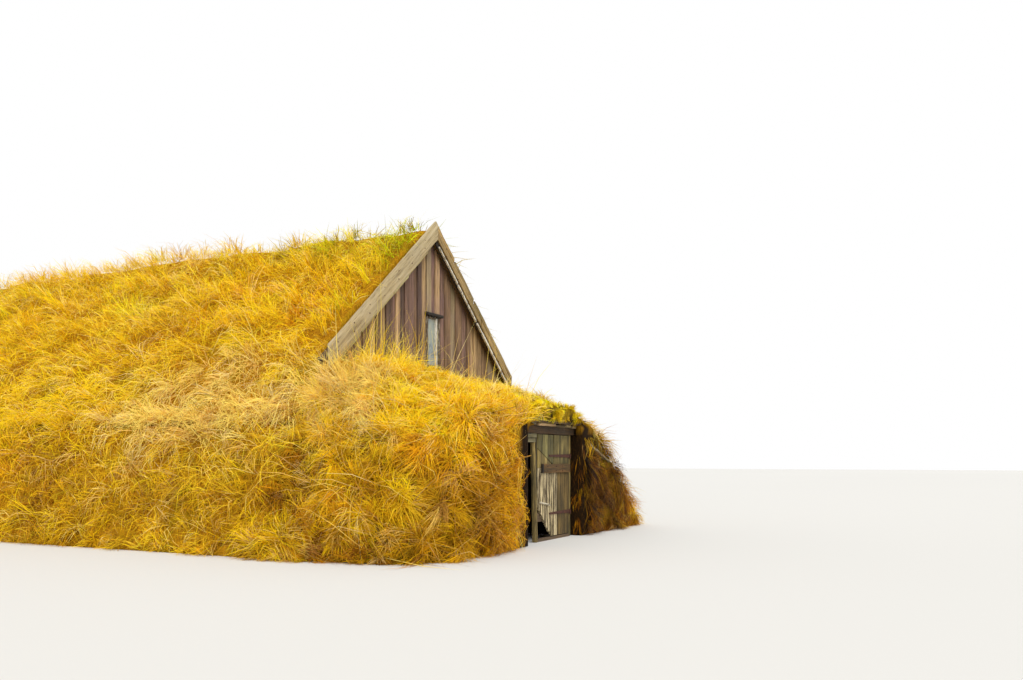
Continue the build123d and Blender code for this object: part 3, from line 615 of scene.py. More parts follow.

# behind the right board a black strip shows through the splits as painted shade, and under its lower edge a
# white-painted lath in bits
shade_strip = slope_strip("right", BUTT_X, BARGE_FOOT, 0.13, 0.09, BARGE_BACK + 0.001, BARGE_BACK + 0.02)
shade_strip.name = "bargeboard_shade_strip"
finish(shade_strip, shaded_wood)
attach(shade_strip, "house")
lath_bits = []
for start, end, top, wide in (
    (0.1, 0.3, 0.2, 0.02), (0.31, 0.63, 0.192, 0.026), (0.65, 0.93, 0.196, 0.03),
    (0.95, 1.2, 0.198, 0.026), (1.24, 1.38, 0.2, 0.022), (1.39, 1.76, 0.19, 0.038),
    (1.78, 2.06, 0.194, 0.03), (2.08, BARGE_FOOT, 0.2, 0.03),
):
    lath_bits.append(slope_strip("right", start, end, top, wide, BARGE_FRONT - 0.002, BARGE_BACK - 0.004))
lath_bits = join(lath_bits, "bargeboard_lath")
finish(lath_bits, white_paint)

# %% [markdown]
# ## Window
# The window is one narrow casement. Its stiles are thin and grey, the bar beside the pane still has its
# bright white paint, and a drip board hangs over it, swollen and painted black as painted shade, with a
# few splinters under it like drips. The bars stand a little proud of the glass, and their ends are cut
# square.

# %% Window bars and drip board
pane_low, pane_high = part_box("window_glass")
WHITE_BAR = (0.197, 0.238, 0.006)
bars = []
for left, right, proud in ((window_low.x, pane_low.x, 0.0), WHITE_BAR, (pane_high.x, window_high.x, 0.0)):
    low = (left, window_low.y - proud, window_low.z)
    bars.append(block("bar", low, (right, window_high.y, window_high.z)))
for foot, top in ((window_low.z, pane_low.z), (pane_high.z, window_high.z)):
    bars.append(block("rail", (pane_low.x, window_low.y + 0.004, foot), (pane_high.x, window_high.y, top)))
for bar in bars:
    divide(bar, (0, 0, 1), 6)
    weather(bar, 0.002, 0.003)
for part, name, paint in (
    (bars[1:2], "white_window_bar", white_paint), (bars[:1] + bars[2:], "window_stiles", worn_paint)
):
    part = join(part, name)
    finish(part, paint)
    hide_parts("window_frame")

drip_low, drip_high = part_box("window_head_board")
drip_board = block("drip_board", drip_low, drip_high)
divide(drip_board, (1, 0, 0), 12)
saw(drip_board, (0, drip_low.y, drip_high.z - 0.012), (0, -1, 2.2))
weather(drip_board, 0.008, 0.004)
drips = [drip_board]
DRIP_WIDE = 0.02
for x in (-0.035, 0.06, 0.085, 0.19, 0.225):
    low = (x, drip_low.y + 0.006, drip_low.z - 0.022)
    drips.append(block("drip", low, (x + DRIP_WIDE, drip_low.y + 0.03, drip_low.z + 0.01)))
    weather(drips[-1], 0.006, 0.005)
# the drip board and its splinters are black wood as painted shade
drip_board = join(drips, "window_drip_board")
finish(drip_board, shaded_wood)
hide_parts("window_head_board")

# %% [markdown]
# ## Door
# The door is two generations of boards. Above the ledge are wide grey-green ones, with a patch let in on
# a slant. Below it older, narrower boards still carry white and pink paint in streaks, and the
# left one has rotted away at its foot. The ledge across them is one brown board, and its left end is a
# nearly black block of painted shade. The boards are blocks with real gaps between them, and each paint has
# its own finish.

# %% Door boards
door_low, door_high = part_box("door_boards")
LEDGE_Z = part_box("door_outer_ledge")[0].z
SHORT_TOP = LEDGE_Z + 0.07
SHORT_SEAM = 0.003


def door_board(left, right, foot, top):
    """One upright board of the door."""
    piece = block("door_board", (left, door_low.y, foot), (right, door_high.y, top))
    divide(piece, (0, 0, 1), 14)
    return piece


# the first two are sawn on a slant, one under the other: the second is the patch
bare_boards = []
for left, right, foot, top, tint in (
    (door_low.x, 0.028, SHORT_TOP, door_high.z, (0.86, 0.98, 0.92)),
    (door_low.x, -0.03, SHORT_TOP, door_high.z, (1.18, 1.16, 1.0)),
    (0.05, door_high.x, SHORT_TOP, door_high.z, (0.98, 1.0, 0.9)),
    (0.158, 0.4, door_low.z, SHORT_TOP - SHORT_SEAM, (0.8, 0.68, 0.5)),
    (0.404, door_high.x, door_low.z, SHORT_TOP - SHORT_SEAM, (0.68, 0.58, 0.44)),
):
    bare_boards.append(door_board(left, right, foot, top))
    tone(bare_boards[-1], tint)
saw(bare_boards[0], (-0.405, 0, 1.2), (-0.45, 0, -1))
saw(bare_boards[1], (-0.405, 0, 1.19), (0.45, 0, 1))
for piece in bare_boards:
    weather(piece, 0.003, 0.003)
bare_boards = join(bare_boards, "door_bare_boards", "front_door")
finish(bare_boards, door_wood)
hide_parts("door_boards")

painted = [
    door_board(left, right, door_low.z, SHORT_TOP - SHORT_SEAM)
    for left, right in ((door_low.x, -0.108), (-0.1, -0.052), (-0.03, 0.148))
]
# the rot has eaten the feet of the first two on a slant
saw(painted[0], (door_low.x, 0, door_low.z + 0.4), (-1, 0, -1))
saw(painted[1], (-0.1, 0, 0.12), (-1, 0, -0.9))
for piece in painted:
    weather(piece, 0.003, 0.003)
painted_boards = join(painted, "door_painted_boards", "front_door")
finish(painted_boards, streaked_paint)
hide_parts("door_boards")

# %% [markdown]
# ## Ledge, latch and nails
# The ledge's top edge catches the light, so its bevel is kept wide. The latch is a peeled stick, bleached
# white. The nails are hand-forged, with heads a thumb's breadth across that have bled rust into the wood:
# one head is turned and faceted, and copied.

# %% Ledge, latch and nails
ledge_low, ledge_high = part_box("door_outer_ledge")
PAINTED_SHADE_END = 0.04
ledge = block("ledge", (ledge_low.x + PAINTED_SHADE_END, ledge_low.y, ledge_low.z), ledge_high)
divide(ledge, (1, 0, 0), 12)
weather(ledge, 0.004, 0.007)
tone(ledge, (1.35, 1.15, 0.95))
# the ledge's left end is a block tinted nearly black: painted shade where the ledge meets the frame
end_high = (ledge_low.x + PAINTED_SHADE_END - 0.002, ledge_high.y, ledge_high.z + 0.004)
ledge_shaded_end = block("ledge_shaded_end", ledge_low, end_high)
divide(ledge_shaded_end, (0, 0, 1), 3)
weather(ledge_shaded_end, 0.004, 0.006)
tone(ledge_shaded_end, (0.16, 0.15, 0.14))
ledge = join([ledge, ledge_shaded_end], "door_ledge_board", "front_door")
finish(ledge, lintel_wood)
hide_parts("door_outer_ledge")

latch_low, latch_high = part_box("door_latch")
STICK_LONG = 0.33
latch_fall = math.atan2(0.05, STICK_LONG)
stick_middle = [(a + b) / 2 for a, b in zip(latch_low, latch_high)]
bpy.ops.object.select_all(action="DESELECT")
bpy.ops.mesh.primitive_cylinder_add(
    vertices=10, radius=0.014, depth=STICK_LONG, location=stick_middle, rotation=(0, QUARTER + latch_fall, 0)
)
latch = bpy.context.object
latch.name = "latch_stick"
bpy.ops.object.transform_apply(location=True, rotation=True, scale=True)
divide(latch, (math.cos(latch_fall), 0, -math.sin(latch_fall)), 7)
weather(latch, 0.003, 0.003)
finish(latch, bleached_wood)
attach(latch, "front_door")
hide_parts("door_latch")

NAIL_HEAD = 0.011
bpy.ops.object.select_all(action="DESELECT")
bpy.ops.mesh.primitive_cone_add(
    vertices=7, radius1=NAIL_HEAD, radius2=NAIL_HEAD * 0.35, depth=0.008, rotation=(QUARTER, 0, 0)
)
first_nail = bpy.context.object
bpy.ops.object.transform_apply(location=False, rotation=True, scale=False)


def nail(x, y, z):
    """A copy of the nail head at a place on a face that looks to the front."""
    piece = bpy.data.objects.new("nail", first_nail.data.copy())
    bpy.context.scene.collection.objects.link(piece)
    select_only(piece)
    piece.location = (x, y, z)
    bpy.ops.object.transform_apply(location=True, rotation=True, scale=True)
    return piece


ledge_nails = [
    nail(x, ledge_low.y - 0.004, ledge_low.z + up) for x in (-0.22, 0.06, 0.27, 0.5) for up in (0.03, 0.088)
]
door_nails = join(ledge_nails, "door_nails", "front_door")
finish(door_nails, rust)
barge_nails = []
for side in (-1, 1):
    for step in range(7):
        out = 0.3 + 0.33 * step
        for under in (0.09, 0.2):
            barge_nails.append(nail(side * out, BARGE_FRONT - 0.002, BARGE_APEX - SLOPE * out - under))
barge_nails = join(barge_nails, "bargeboard_nails")
finish(barge_nails, rust)
bpy.data.objects.remove(first_nail)

# %% [markdown]
# ## Doorway timbers
# The lintel is a damp driftwood beam, brown where the door's head shelters it and black along its
# foot. On it lie the ends of thin boards that carry the porch's turf, pale where they have
# broken. The left post is a peeled pole, grey and leaning a little, and short green-grey timbers are
# packed on the turf beside it. A board has slipped from the porch's right edge and slants down over the turf,
# a little proud of the sods.

# %% Lintel, posts and board ends
for name, new_name, voxel, depth, out, material, tint, slot in (
    ("lintel", "lintel_beam", 0.018, 0.009, 0, lintel_wood, (0.5, 0.42, 0.32), "dark_wood"),
    ("lintel_packing", "packing_timbers", 0.012, 0.006, 0, board_end_wood, (0.62, 0.7, 0.6), "door_wood"),
    ("porch_edge_board", "turf_edge_board", 0.014, 0.01, 0.03, board_end_wood, (1.0, 1.0, 0.95), "dark_wood"),
    ("right_door_jamb", "right_post", 0.012, 0.004, 0, door_wood, (1.15, 1.1, 0.9), "door_wood"),
):
    piece = remade(name, new_name, voxel)
    weather(piece, depth, 0)
    piece.location = (0, -out, 0)
    bpy.ops.object.transform_apply(location=True, rotation=False, scale=False)
    tone(piece, tint)
    finish(piece, material)
    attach(piece, "house")
    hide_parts(name)

jamb_low, jamb_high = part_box("left_door_jamb")
POST_LEAN = math.radians(3.4)
OFF_GROUND = 0.004
bpy.ops.object.select_all(action="DESELECT")
bpy.ops.mesh.primitive_cylinder_add(
    vertices=12, radius=0.036, depth=jamb_high.z + 0.03,
    location=(jamb_low.x + 0.006, jamb_low.y + 0.02, jamb_high.z / 2), rotation=(0, -POST_LEAN, 0),
)
post = bpy.context.object
post.name = "left_post"
bpy.ops.object.transform_apply(location=True, rotation=True, scale=True)
divide(post, (-math.sin(POST_LEAN), 0, math.cos(POST_LEAN)), 22)
saw(post, (0, 0, OFF_GROUND), (0, 0, -1))
saw(post, (0, 0, jamb_high.z - 0.001), (0, 0, 1))
weather(post, 0.007, 0.003)
tone(post, (1.2, 1.15, 0.98))
stop_foot = (jamb_high.x - 0.034, jamb_low.y + 0.012, OFF_GROUND)
stop_board = block("stop_board", stop_foot, (jamb_high.x, jamb_high.y, jamb_high.z - 0.002))
divide(stop_board, (0, 0, 1), 16)
weather(stop_board, 0.004, 0.003)
tone(stop_board, (0.42, 0.4, 0.34))
left_post = join([post, stop_board], "left_door_post")
finish(left_post, door_wood)
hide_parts("left_door_jamb")

# the laths' broken ends: from and to, how far sunk, how far out, and the tint
lath_low, lath_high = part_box("lintel_board")
laths = []
for left, right, lift, out, tint in (
    (-0.86, -0.62, 0.0, 0.03, (0.75, 0.8, 0.8)), (-0.54, -0.02, -0.004, 0.04, (1.75, 1.5, 1.25)),
    (0.0, 0.34, -0.012, 0.02, (0.5, 0.42, 0.3)), (0.36, 0.52, -0.004, 0.035, (1.6, 1.45, 1.2)),
    (0.56, 0.84, -0.012, 0.03, (1.1, 1.0, 0.85)), (0.88, 1.14, -0.02, 0.025, (0.9, 0.88, 0.75)),
):
    front = lath_low.y - 0.012 + (0.04 - out)
    lath = block("lath", (left, front, lath_low.z + lift), (right, lath_high.y + 0.02, lath_high.z + lift))
    divide(lath, (1, 0, 0), 8)
    weather(lath, 0.005, 0.004)
    tone(lath, tint)
    laths.append(lath)
laths = join(laths, "lath_ends")
finish(laths, board_end_wood)
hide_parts("lintel_board")

# %% [markdown]
# ## Sods
# The walls and the roof are cut sods, laid damp and grown together, so their faces are never flat:
# they bulge and sag by a hand's breadth. Each turf solid is copied, its copy is remade
# in even small faces by a voxel remesh, and those are pushed in and out by one smooth noise that is drawn in
# the house's own space, so neighbouring sods bulge together and their joints stay closed. Faces
# that lie against timber, or look into the room, stay where they are. The edge of the porch over the
# door is trodden down by a few centimetres. Where no grass grows, an attribute turns the sod to bare soil.

# %% Smooth noise in space
def lumps(points, size, seed):
    """Smooth random heights from -1 to 1 at points in space, with lumps about one size across.

    Each corner of a grid of cells gets a random height, scrambled out of the corner's whole numbers, and
    the heights are blended smoothly across the cell.
    """
    cell = points / size
    base = np.floor(cell).astype(np.int64)
    part = cell - base
    part = part * part * (3 - 2 * part)
    total = np.zeros(len(points))
    for corner in range(8):
        step = np.array([(corner >> axis) & 1 for axis in range(3)])
        key = (base + step) @ np.array([73856093, 19349663, 83492791]) + seed * 26544357
        key = (key ^ (key >> 13)) * 1274126177
        height = ((key ^ (key >> 16)) & 0xFFFF) / 32767.5 - 1
        total += np.prod(np.where(step == 1, part, 1 - part), axis=1) * height
    return total


def fade(value, end, width):
    """1 for low values, and falling over a width to 0 at the end."""
    return np.clip((end - value) / width, 0, 1)


def fall(distance, reach):
    """1 at no distance, and falling to 0 at the reach."""
    return np.clip(1 - distance / reach, 0, 1)


# %% Which faces are outdoors
TURF = (
    "left_roof_turf", "right_roof_turf", "left_side_wall", "right_side_wall", "back_wall",
    "front_left_wall", "front_right_wall", "porch_roof_turf",
)


def mesh_arrays(mesh):
    """A mesh's corners, and its triangles as numbers of corners."""
    corners = np.empty(len(mesh.vertices) * 3)
    mesh.vertices.foreach_get("co", corners)
    mesh.calc_loop_triangles()
    triangles = np.empty(len(mesh.loop_triangles) * 3, dtype=np.int64)
    mesh.loop_triangles.foreach_get("vertices", triangles)
    return corners.reshape(-1, 3), triangles.reshape(-1, 3)


all_corners, all_triangles = [], []
for solid in solids.values():
    corners, triangles = mesh_arrays(solid.data)
    all_triangles.append(triangles + sum(len(c) for c in all_corners))
    all_corners.append(corners)
house_corners = np.concatenate(all_corners).tolist()
house_tree = BVHTree.FromPolygons(house_corners, np.concatenate(all_triangles).tolist())
OPEN_REACH = 1.3
PAST_BULGE = 0.13
UPWARDS = Vector((0, 0, 0.35))


def outdoors(points, normals):
    """1 where a point has open air in front of it and isn't under anything, and 0 elsewhere."""
    seen = np.zeros(len(points))
    for i, (point, normal) in enumerate(zip(points, normals)):
        start = Vector(point) + Vector(normal) * PAST_BULGE
        if start.z < 0.0:
            continue
        if house_tree.ray_cast(start, Vector(normal), OPEN_REACH)[0] is not None:
            continue
        outwards = (Vector(normal) + UPWARDS).normalized()
        seen[i] = house_tree.ray_cast(start, outwards, OPEN_REACH)[0] is None
    return seen


# %% Sod material
def sod_finish(name, light, middle, dark, mossy):
    """Matted roots and dead straw over dark soil."""
    material, output = new_material(name)
    place = object_place(material)
    fibre = noise(material, mapped(material, place, (1.0, 1.0, 0.35)), 46.0, 7.0, 0.75)
    colour = ramp(material, fibre, (0.3, dark), (0.52, middle), (0.75, light))
    moss = fitted(material, noise(material, place, 1.7, 5.0), 0.5, 0.62, 0.0, 0.6)
    colour = mixed(material, moss, colour, linear(mossy))
    soil = ramp(material, fibre, (0.3, "#0c0703"), (0.55, "#2a1a08"), (0.8, "#5c3f10"))
    colour = mixed(material, attribute(material, "bare_soil", "Fac"), colour, soil)
    shader = finish_surface(material, output, colour, 0.95, bump=fibre, distance=0.03)
    shader.inputs["Specular IOR Level"].default_value = 0.1
    return material


straw_sod = sod_finish("straw_matted_sod", "#ffc42a", "#cc9216", "#6a480c", "#a8900c")
mossy_sod = sod_finish("moss_grown_sod", "#e8c424", "#a8860e", "#33270a", "#b8a012")

# %% Sod shapes
SOD_VOXEL = 0.105
DOOR_FACE = door_low.y
MOSS_PATCH, MOSS_SEED, MOSS_TOP = 0.13, 31, 0.15


def near_timber(points):
    """1 beside the gable's boards and the doorway, where the turf keeps its cut shape, fading to 0."""
    x, y, z = points.T
    gable = np.clip(1.6 - np.abs(y - GABLE_FACE) / 0.22, 0, 1) * (np.abs(x) < 2.7) * (z > 1.7)
    doorway = np.clip(1.5 - (y - DOOR_FACE - 0.1) / 0.15, 0, 1) * np.clip(3.0 - np.abs(x) / 0.5, 0, 1)
    doorway = doorway * (z < 1.75)
    edge_board = (x > 0.8) & (x < 2.1) & (y < DOOR_FACE + 0.1) & (z > 0.6) & (z < 1.5)
    return np.maximum.reduce([gable, doorway, edge_board])


def bare_soil(points):
    """1 where bare soil shows, fading to 0: in the passage, by the door's frame, in the moss's holes."""
    x, y, z = points.T
    passage = fade(np.abs(x), 0.98, 0.06) * (z < 2.15) * (y > DOOR_FACE) * (z < 1.57 + 0.26 * (y - DOOR_FACE))
    right_side = fade(x, 1.75, 0.5) * (x > 0)
    left_side = fade(-x, 1.36 + 0.04 * np.sin(13 * z), 0.1) * (x <= 0)
    frame_side = (right_side + left_side) * fade(y, DOOR_FACE + 0.3, 0.2) * fade(z, 1.56, 0.08)
    room = fade(np.abs(x), 2.0, 0.06) * (y > GABLE_FACE) * (z < 2.3)
    low = 0.6 * fade(z, 2.0, 0.8) * (y < GABLE_FACE)
    holes = (lumps(points, MOSS_PATCH, MOSS_SEED) > MOSS_TOP) * (z > 1.5) * (y < DOOR_FACE + 0.35)
    return np.maximum.reduce([passage, frame_side, room, low, holes])


def sod(name):
    """A copy of a turf solid in small even faces, bulging where it is outdoors."""
    piece = remade(name, name.replace("_turf", "").replace("_wall", "") + "_sods", SOD_VOXEL)
    corners = np.empty(len(piece.data.vertices) * 3)
    piece.data.vertices.foreach_get("co", corners)
    corners = corners.reshape(-1, 3)
    normals = np.empty_like(corners)
    piece.data.vertices.foreach_get("normal", normals.ravel())
    normals = normals.reshape(-1, 3)
    free = outdoors(corners, normals) * (1 - near_timber(corners))
    bulge = 0.05 * lumps(corners, 0.85, 3) + 0.03 * lumps(corners, 0.37, 5) - 0.012
    corners = corners + normals * (free * bulge)[:, None]
    trodden = fade(corners[:, 1], DOOR_FACE + 0.45, 0.4) * np.clip((corners[:, 2] - 1.62) / 0.12, 0, 1)
    corners[:, 2] = np.maximum(corners[:, 2] - 0.09 * trodden, 0)
    piece.data.vertices.foreach_set("co", corners.ravel())
    soil = piece.data.attributes.new("bare_soil", "FLOAT", "POINT")
    soil.data.foreach_set("value", bare_soil(corners))
    piece.data.update()
    bpy.ops.object.shade_smooth()
    finish(piece, mossy_sod if name == "porch_roof_turf" else straw_sod)
    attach(piece, "house")
    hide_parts(name)
    return piece


sods = {name: sod(name) for name in TURF}
print("sod triangles", sum(2 * len(piece.data.polygons) for piece in sods.values()))

# %% [markdown]
# ## The coat of grass
# The grass is what the eye meets first. It is long, dead and bleached, it stands in tussocks a foot
# apart, and rain and snow have combed it down the slope. Each blade is a flat strip of three
# triangles with one bend, and there are some 260,000 of them, so they are made in arrays of
# numbers and joined in one mesh for each sod. A blade starts at a random place on a sod, leans away
# from the middle of its tussock and down the slope, and carries its own colour as an attribute. Inside a
# tussock the blades hang together in strands of one colour, because wet grass dries in locks. Painted
# light and shade go into that attribute too: each tussock, strand and blade is made lighter or darker,
# the roots darker, and the tips a little lighter.

# %% Grass material
def grass_finish(name):
    """Dry blades: the colour, with its painted light and shade, comes from each blade's own attribute, with a
    fine fleck over it.
    """
    material, output = new_material(name)
    fleck = fitted(material, noise(material, object_place(material), 18.0, 4.0), 0.35, 0.65, 0.88, 1.16)
    colour = mixed(material, 1.0, attribute(material, "blade_colour_and_light"), fleck, "MULTIPLY")
    shader = finish_surface(material, output, colour, 0.6)
    shader.inputs["Specular IOR Level"].default_value = 0.12
    through = add_node(material, "BsdfTranslucent", {"Color": colour})
    blade = add_node(material, "MixShader", {0: 0.15, 1: shader.outputs[0], 2: through.outputs[0]})
    material.node_tree.links.new(blade.outputs[0], output.inputs["Surface"])
    return material


dry_grass = grass_finish("dry_bent_grass")

# %% Grass colours
BLADES = np.array([linear(c)[:3] for c in (
    "#ffd810", "#ffdc36", "#ffe294", "#f4b20e", "#b07c12", "#86560e", "#422806", "#b6be0c", "#d2c816",
)])
GOLD, STRAW, BLEACHED, OCHRE, BROWN, RUSSET, DARK, OLIVE, MOSS = range(len(BLADES))


def drift(places, size, seed, rng):
    """Patches one size across that drift over the turf, a little frayed at their edges."""
    return lumps(places, size, seed) + 0.28 * rng.standard_normal(len(places))


def tussock_colours(centres, rng, mood):
    """One colour for each tussock: patches of gold, straw, brown and green drift over the turf."""
    pale = drift(centres, 1.5, 11, rng) + mood["pale"]
    brown = drift(centres, 1.1, 13, rng) + mood["brown"]
    green = drift(centres, 1.3, 17, rng) + mood["green"]
    pick = np.full(len(centres), GOLD)
    pick[pale > 0.3] = STRAW
    pick[pale > 0.8] = BLEACHED
    pick[pale < -0.7] = OCHRE
    pick[brown > 0.85] = BROWN
    pick[brown > 1.15] = RUSSET
    pick[brown > 1.4] = DARK
    pick[green > 0.85] = OLIVE
    pick[green > 1.3] = MOSS
    return BLADES[pick]


STRAND = 0.07
# the level of painted light at which a blade keeps its own hue
PAINTED_LIGHT_PIVOT = 1.12


def mood_at(places, upright):
    """How pale, brown and green it is, and how much painted light it gets: bleached on shoulders, dull on
    walls, green by the ridge, painted lighter on the shoulders, the brow and left of the door, and painted
    shade at the walls' foot and by the ridge.
    """
    x, y, z = places.T
    shoulder = fall(np.abs(np.abs(x) - 2.75), 0.5) * (y > GABLE_FACE)
    brow = fall(np.abs(z - 2.1), 0.5) * (y < GABLE_FACE)
    wall = fade(z, 2.0, 0.8) * upright
    foot = upright * fade(z, 2.1, 1.1)
    beside_door = fall(np.abs(x - 1.3), 0.9) * (y < GABLE_FACE) * (z < 1.4)
    ridge = fall(4.2 - z, 0.9) * fall(y + 4.6, 3.0)
    porch = fall(y + 7.0, 0.9) * fall(np.abs(x - 0.4), 1.6) * (z > 1.5)
    left_of_door = fall(np.abs(x + 1.7), 0.7) * (y < GABLE_FACE)
    verge = fall(y - GABLE_FACE, 0.6) * (z > 2.9)
    return {
        "pale": 0.9 * shoulder + 0.6 * brow - 1.0 * wall,
        "brown": 0.6 * wall + 0.7 * beside_door + 0.15 * ridge - 0.2 * shoulder - 0.3 * left_of_door,
        "green": 1.0 * ridge + 0.75 * verge + 0.5 * porch - 0.5 * upright,
        # painted light and shade by place: lighter on the shoulders, the brow and left of the door, darker at
        # the foot of the walls and by the ridge
        "light": 1.22 + 0.2 * shoulder + 0.08 * brow - 0.1 * ridge - 0.7 * foot + 0.35 * left_of_door,
    }


# %% Where no blade may reach
# grass stands out of the solids by no more than this on each side, and not below the ground
PROUD = [0.03 * (high - low) + 0.004 for low, high in zip(cad_low, cad_high)]
BLADE_LOW = [cad_low[0] - PROUD[0], cad_low[1] - PROUD[1], 0.0]
BLADE_HIGH = [high + proud for high, proud in zip(cad_high, PROUD)]
hinge = frame["joints"][0]["pos_m"]
DOOR_REACH = hinge[0] - door_low.x + 0.05
DOOR_TOP = door_high.z + 0.03
PAST_OPEN_DOOR = 0.095
OPEN_DOOR_LEAN = 0.09
lintel_low, lintel_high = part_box("lintel")
packing_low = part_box("lintel_packing")[0]
board_low, board_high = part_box("porch_edge_board")
BOARD_HALF = 0.017


def ragged(places, fray=0.0):
    """A small uneven shift, as where turf has crumbled, and a fray that differs from blade to blade."""
    return 0.04 * np.sin(11 * places) + 0.025 * np.sin(31 * places + 1) + fray * np.sin(397 * places[..., :1])


def edge_board_z(x):
    """The middle of the slanting board at the porch's right edge."""
    descent = (x - board_low.x) * (board_high.z - board_low.z - 2 * BOARD_HALF) / (board_high.x - board_low.x)
    return board_high.z - BOARD_HALF - descent


def fouls_door(points):
    """True for a blade that reaches into the door's swing, or hides the doorway's timbers."""
    x, y, z = points[..., 0], points[..., 1], points[..., 2]
    past_door = hinge[0] + PAST_OPEN_DOOR + OPEN_DOOR_LEAN * (hinge[1] - y)
    in_swing = (np.hypot(x - hinge[0], y - hinge[1]) < DOOR_REACH) & (x < past_door) & (z < DOOR_TOP)
    worn_top = lintel_high.z + 0.03 + 0.6 * ragged(x, 0.03)
    before_frame = (x > packing_low.x) & (y < DOOR_FACE + 0.06) & (z < worn_top)
    before_frame = before_frame & ((x < hinge[0]) | ((x < lintel_high.x) & (z > lintel_low.z - 0.01)))
    worn_line = cad_low.y + 0.07 + 0.49 * (x + 1.08) + 0.09 * np.clip((z - 0.8) / 0.5, 0, 1)
    worn_line = worn_line + ragged(z, 0.08)
    worn_corner = (x > -1.9) & (x < hinge[0]) & (z < lintel_high.z + ragged(x)) & (y < worn_line)
    over_board = (x > board_low.x) & (x < board_high.x) & (np.abs(z - edge_board_z(x)) < 0.03)
    over_board = over_board & (y < cad_low.y + 0.04)
    return (in_swing | before_frame | worn_corner | over_board).any(axis=1)


def pierces_gable(points):
    """True for a blade that passes through the gable's boards from behind, or into them from in front."""
    x, y, z = points[..., 0], points[..., 1], points[..., 2]
    through = (y < GABLE_FACE + 0.02) & (z < BARGE_APEX - SLOPE * np.abs(x)) & (np.abs(x) < 2.36)
    into = (y > BARGE_FRONT - 0.01) & (z < BARGE_APEX - SLOPE * np.abs(x)) & (np.abs(x) < 2.44)
    return np.where(y[:, 0] > GABLE_FACE, through.any(axis=1), into.any(axis=1) & (z[:, 0] > 1.75))


# %% [markdown]
# ## Growing the blades
# Hair particles could grow this grass too, but they are hard to keep out of the door's swing and off
# the boards. Here each blade is worked out as numbers, so every one can be tested before it is made.
# First come the roots, thrown at random over a sod's faces. They are gathered into tussocks and strands
# round some of their own number. Then each blade gets the way it lies, its five corners and its colour,
# and those that would foul the door or pierce the gable are dropped.

# %% Roots, tussocks and strands
def scatter(ground, count, keep, rng):
    """Random roots on a sod's outdoor faces, the way that each one's face looks, and the area they share."""
    corners, triangles = mesh_arrays(sods[ground].data)
    a, b, c = (corners[triangles[:, i]] for i in range(3))
    cross = np.cross(b - a, c - a)
    area = np.linalg.norm(cross, axis=1) / 2
    normals = cross / np.maximum(2 * area, 1e-12)[:, None]
    middle = (a + b + c) / 3
    chance = area * outdoors(middle, normals) * keep(middle, normals)
    total_area = chance.sum()
    face = rng.choice(len(chance), size=count, p=chance / total_area)
    u, v = rng.random(count), rng.random(count)
    fold = u + v > 1
    u[fold], v[fold] = 1 - u[fold], 1 - v[fold]
    root = a[face] + u[:, None] * (b - a)[face] + v[:, None] * (c - a)[face]
    return root, normals[face], total_area


def gather(roots, area, spacing, rng):
    """Gather blades round some of their own roots, one for each square of the spacing.

    It gives those roots' numbers, and for each blade which of them it belongs to.
    """
    chosen = rng.choice(len(roots), size=min(len(roots), max(8, int(area / spacing ** 2))), replace=False)
    tree = KDTree(len(chosen))
    for i, point in enumerate(roots[chosen]):
        tree.insert(point, i)
    tree.balance()
    return chosen, np.array([tree.find(point)[1] for point in roots])


# %% Lie and bend of a blade
WIND = 0.9


def lie_of(root, normal, away, strand, strand_count, rng, comb, burst, stray):
    """The way a blade lies: down the slope, away from its tussock's middle, and astray with its strand."""
    down = np.array([0, 0, -1.0]) + normal * normal[:, 2:3]
    wind = np.stack([lumps(root, WIND, 21), lumps(root, WIND, 22), 0.4 * lumps(root, WIND, 23)], axis=1)
    strand_way = rng.standard_normal((strand_count, 3))[strand]
    astray = strand_way + 0.55 * rng.standard_normal((len(root), 3))
    lie = comb * down + burst * away + 0.45 * wind + stray * astray
    lie = lie - normal * (lie * normal).sum(1)[:, None]
    return lie / np.maximum(np.linalg.norm(lie, axis=1), 1e-6)[:, None]


def blade_corners(root, normal, lie, distance, vigour, rng, length, wide, lift, droop, hump):
    """A blade's five corners: two at its root, two at its bend, one at its tip. It rises, and then droops."""
    count = len(root)
    size = rng.uniform(*length, count) * vigour
    rise = (lift * (1.3 - 0.75 * np.minimum(distance, 1.4)) * rng.uniform(0.4, 1.3, count)).clip(0.05, 1.4)
    low = rise - rng.uniform(*droop, count)
    near = root + normal * (hump * np.maximum(0, 1 - distance) * vigour - 0.015)[:, None]
    bend = near + size[:, None] * 0.5 * (lie * np.cos(rise)[:, None] + normal * np.sin(rise)[:, None])
    tip = bend + size[:, None] * 0.5 * (lie * np.cos(low)[:, None] + normal * np.sin(low)[:, None])
    tip[:, 2] -= 0.12 * size * np.abs(normal[:, 2] < 0.6)
    side = np.cross(lie, normal)
    twist = rng.uniform(-0.5, 0.5, count)
    side = side * np.cos(twist)[:, None] + normal * np.sin(twist)[:, None]
    half = (wide * rng.uniform(0.6, 1.3, count) / 2)[:, None] * side
    return np.stack([near - half, near + half, bend + half * 0.85, bend - half * 0.85, tip], axis=1)


# %% Colour of a blade
TUSSOCK_SHARE = 0.45


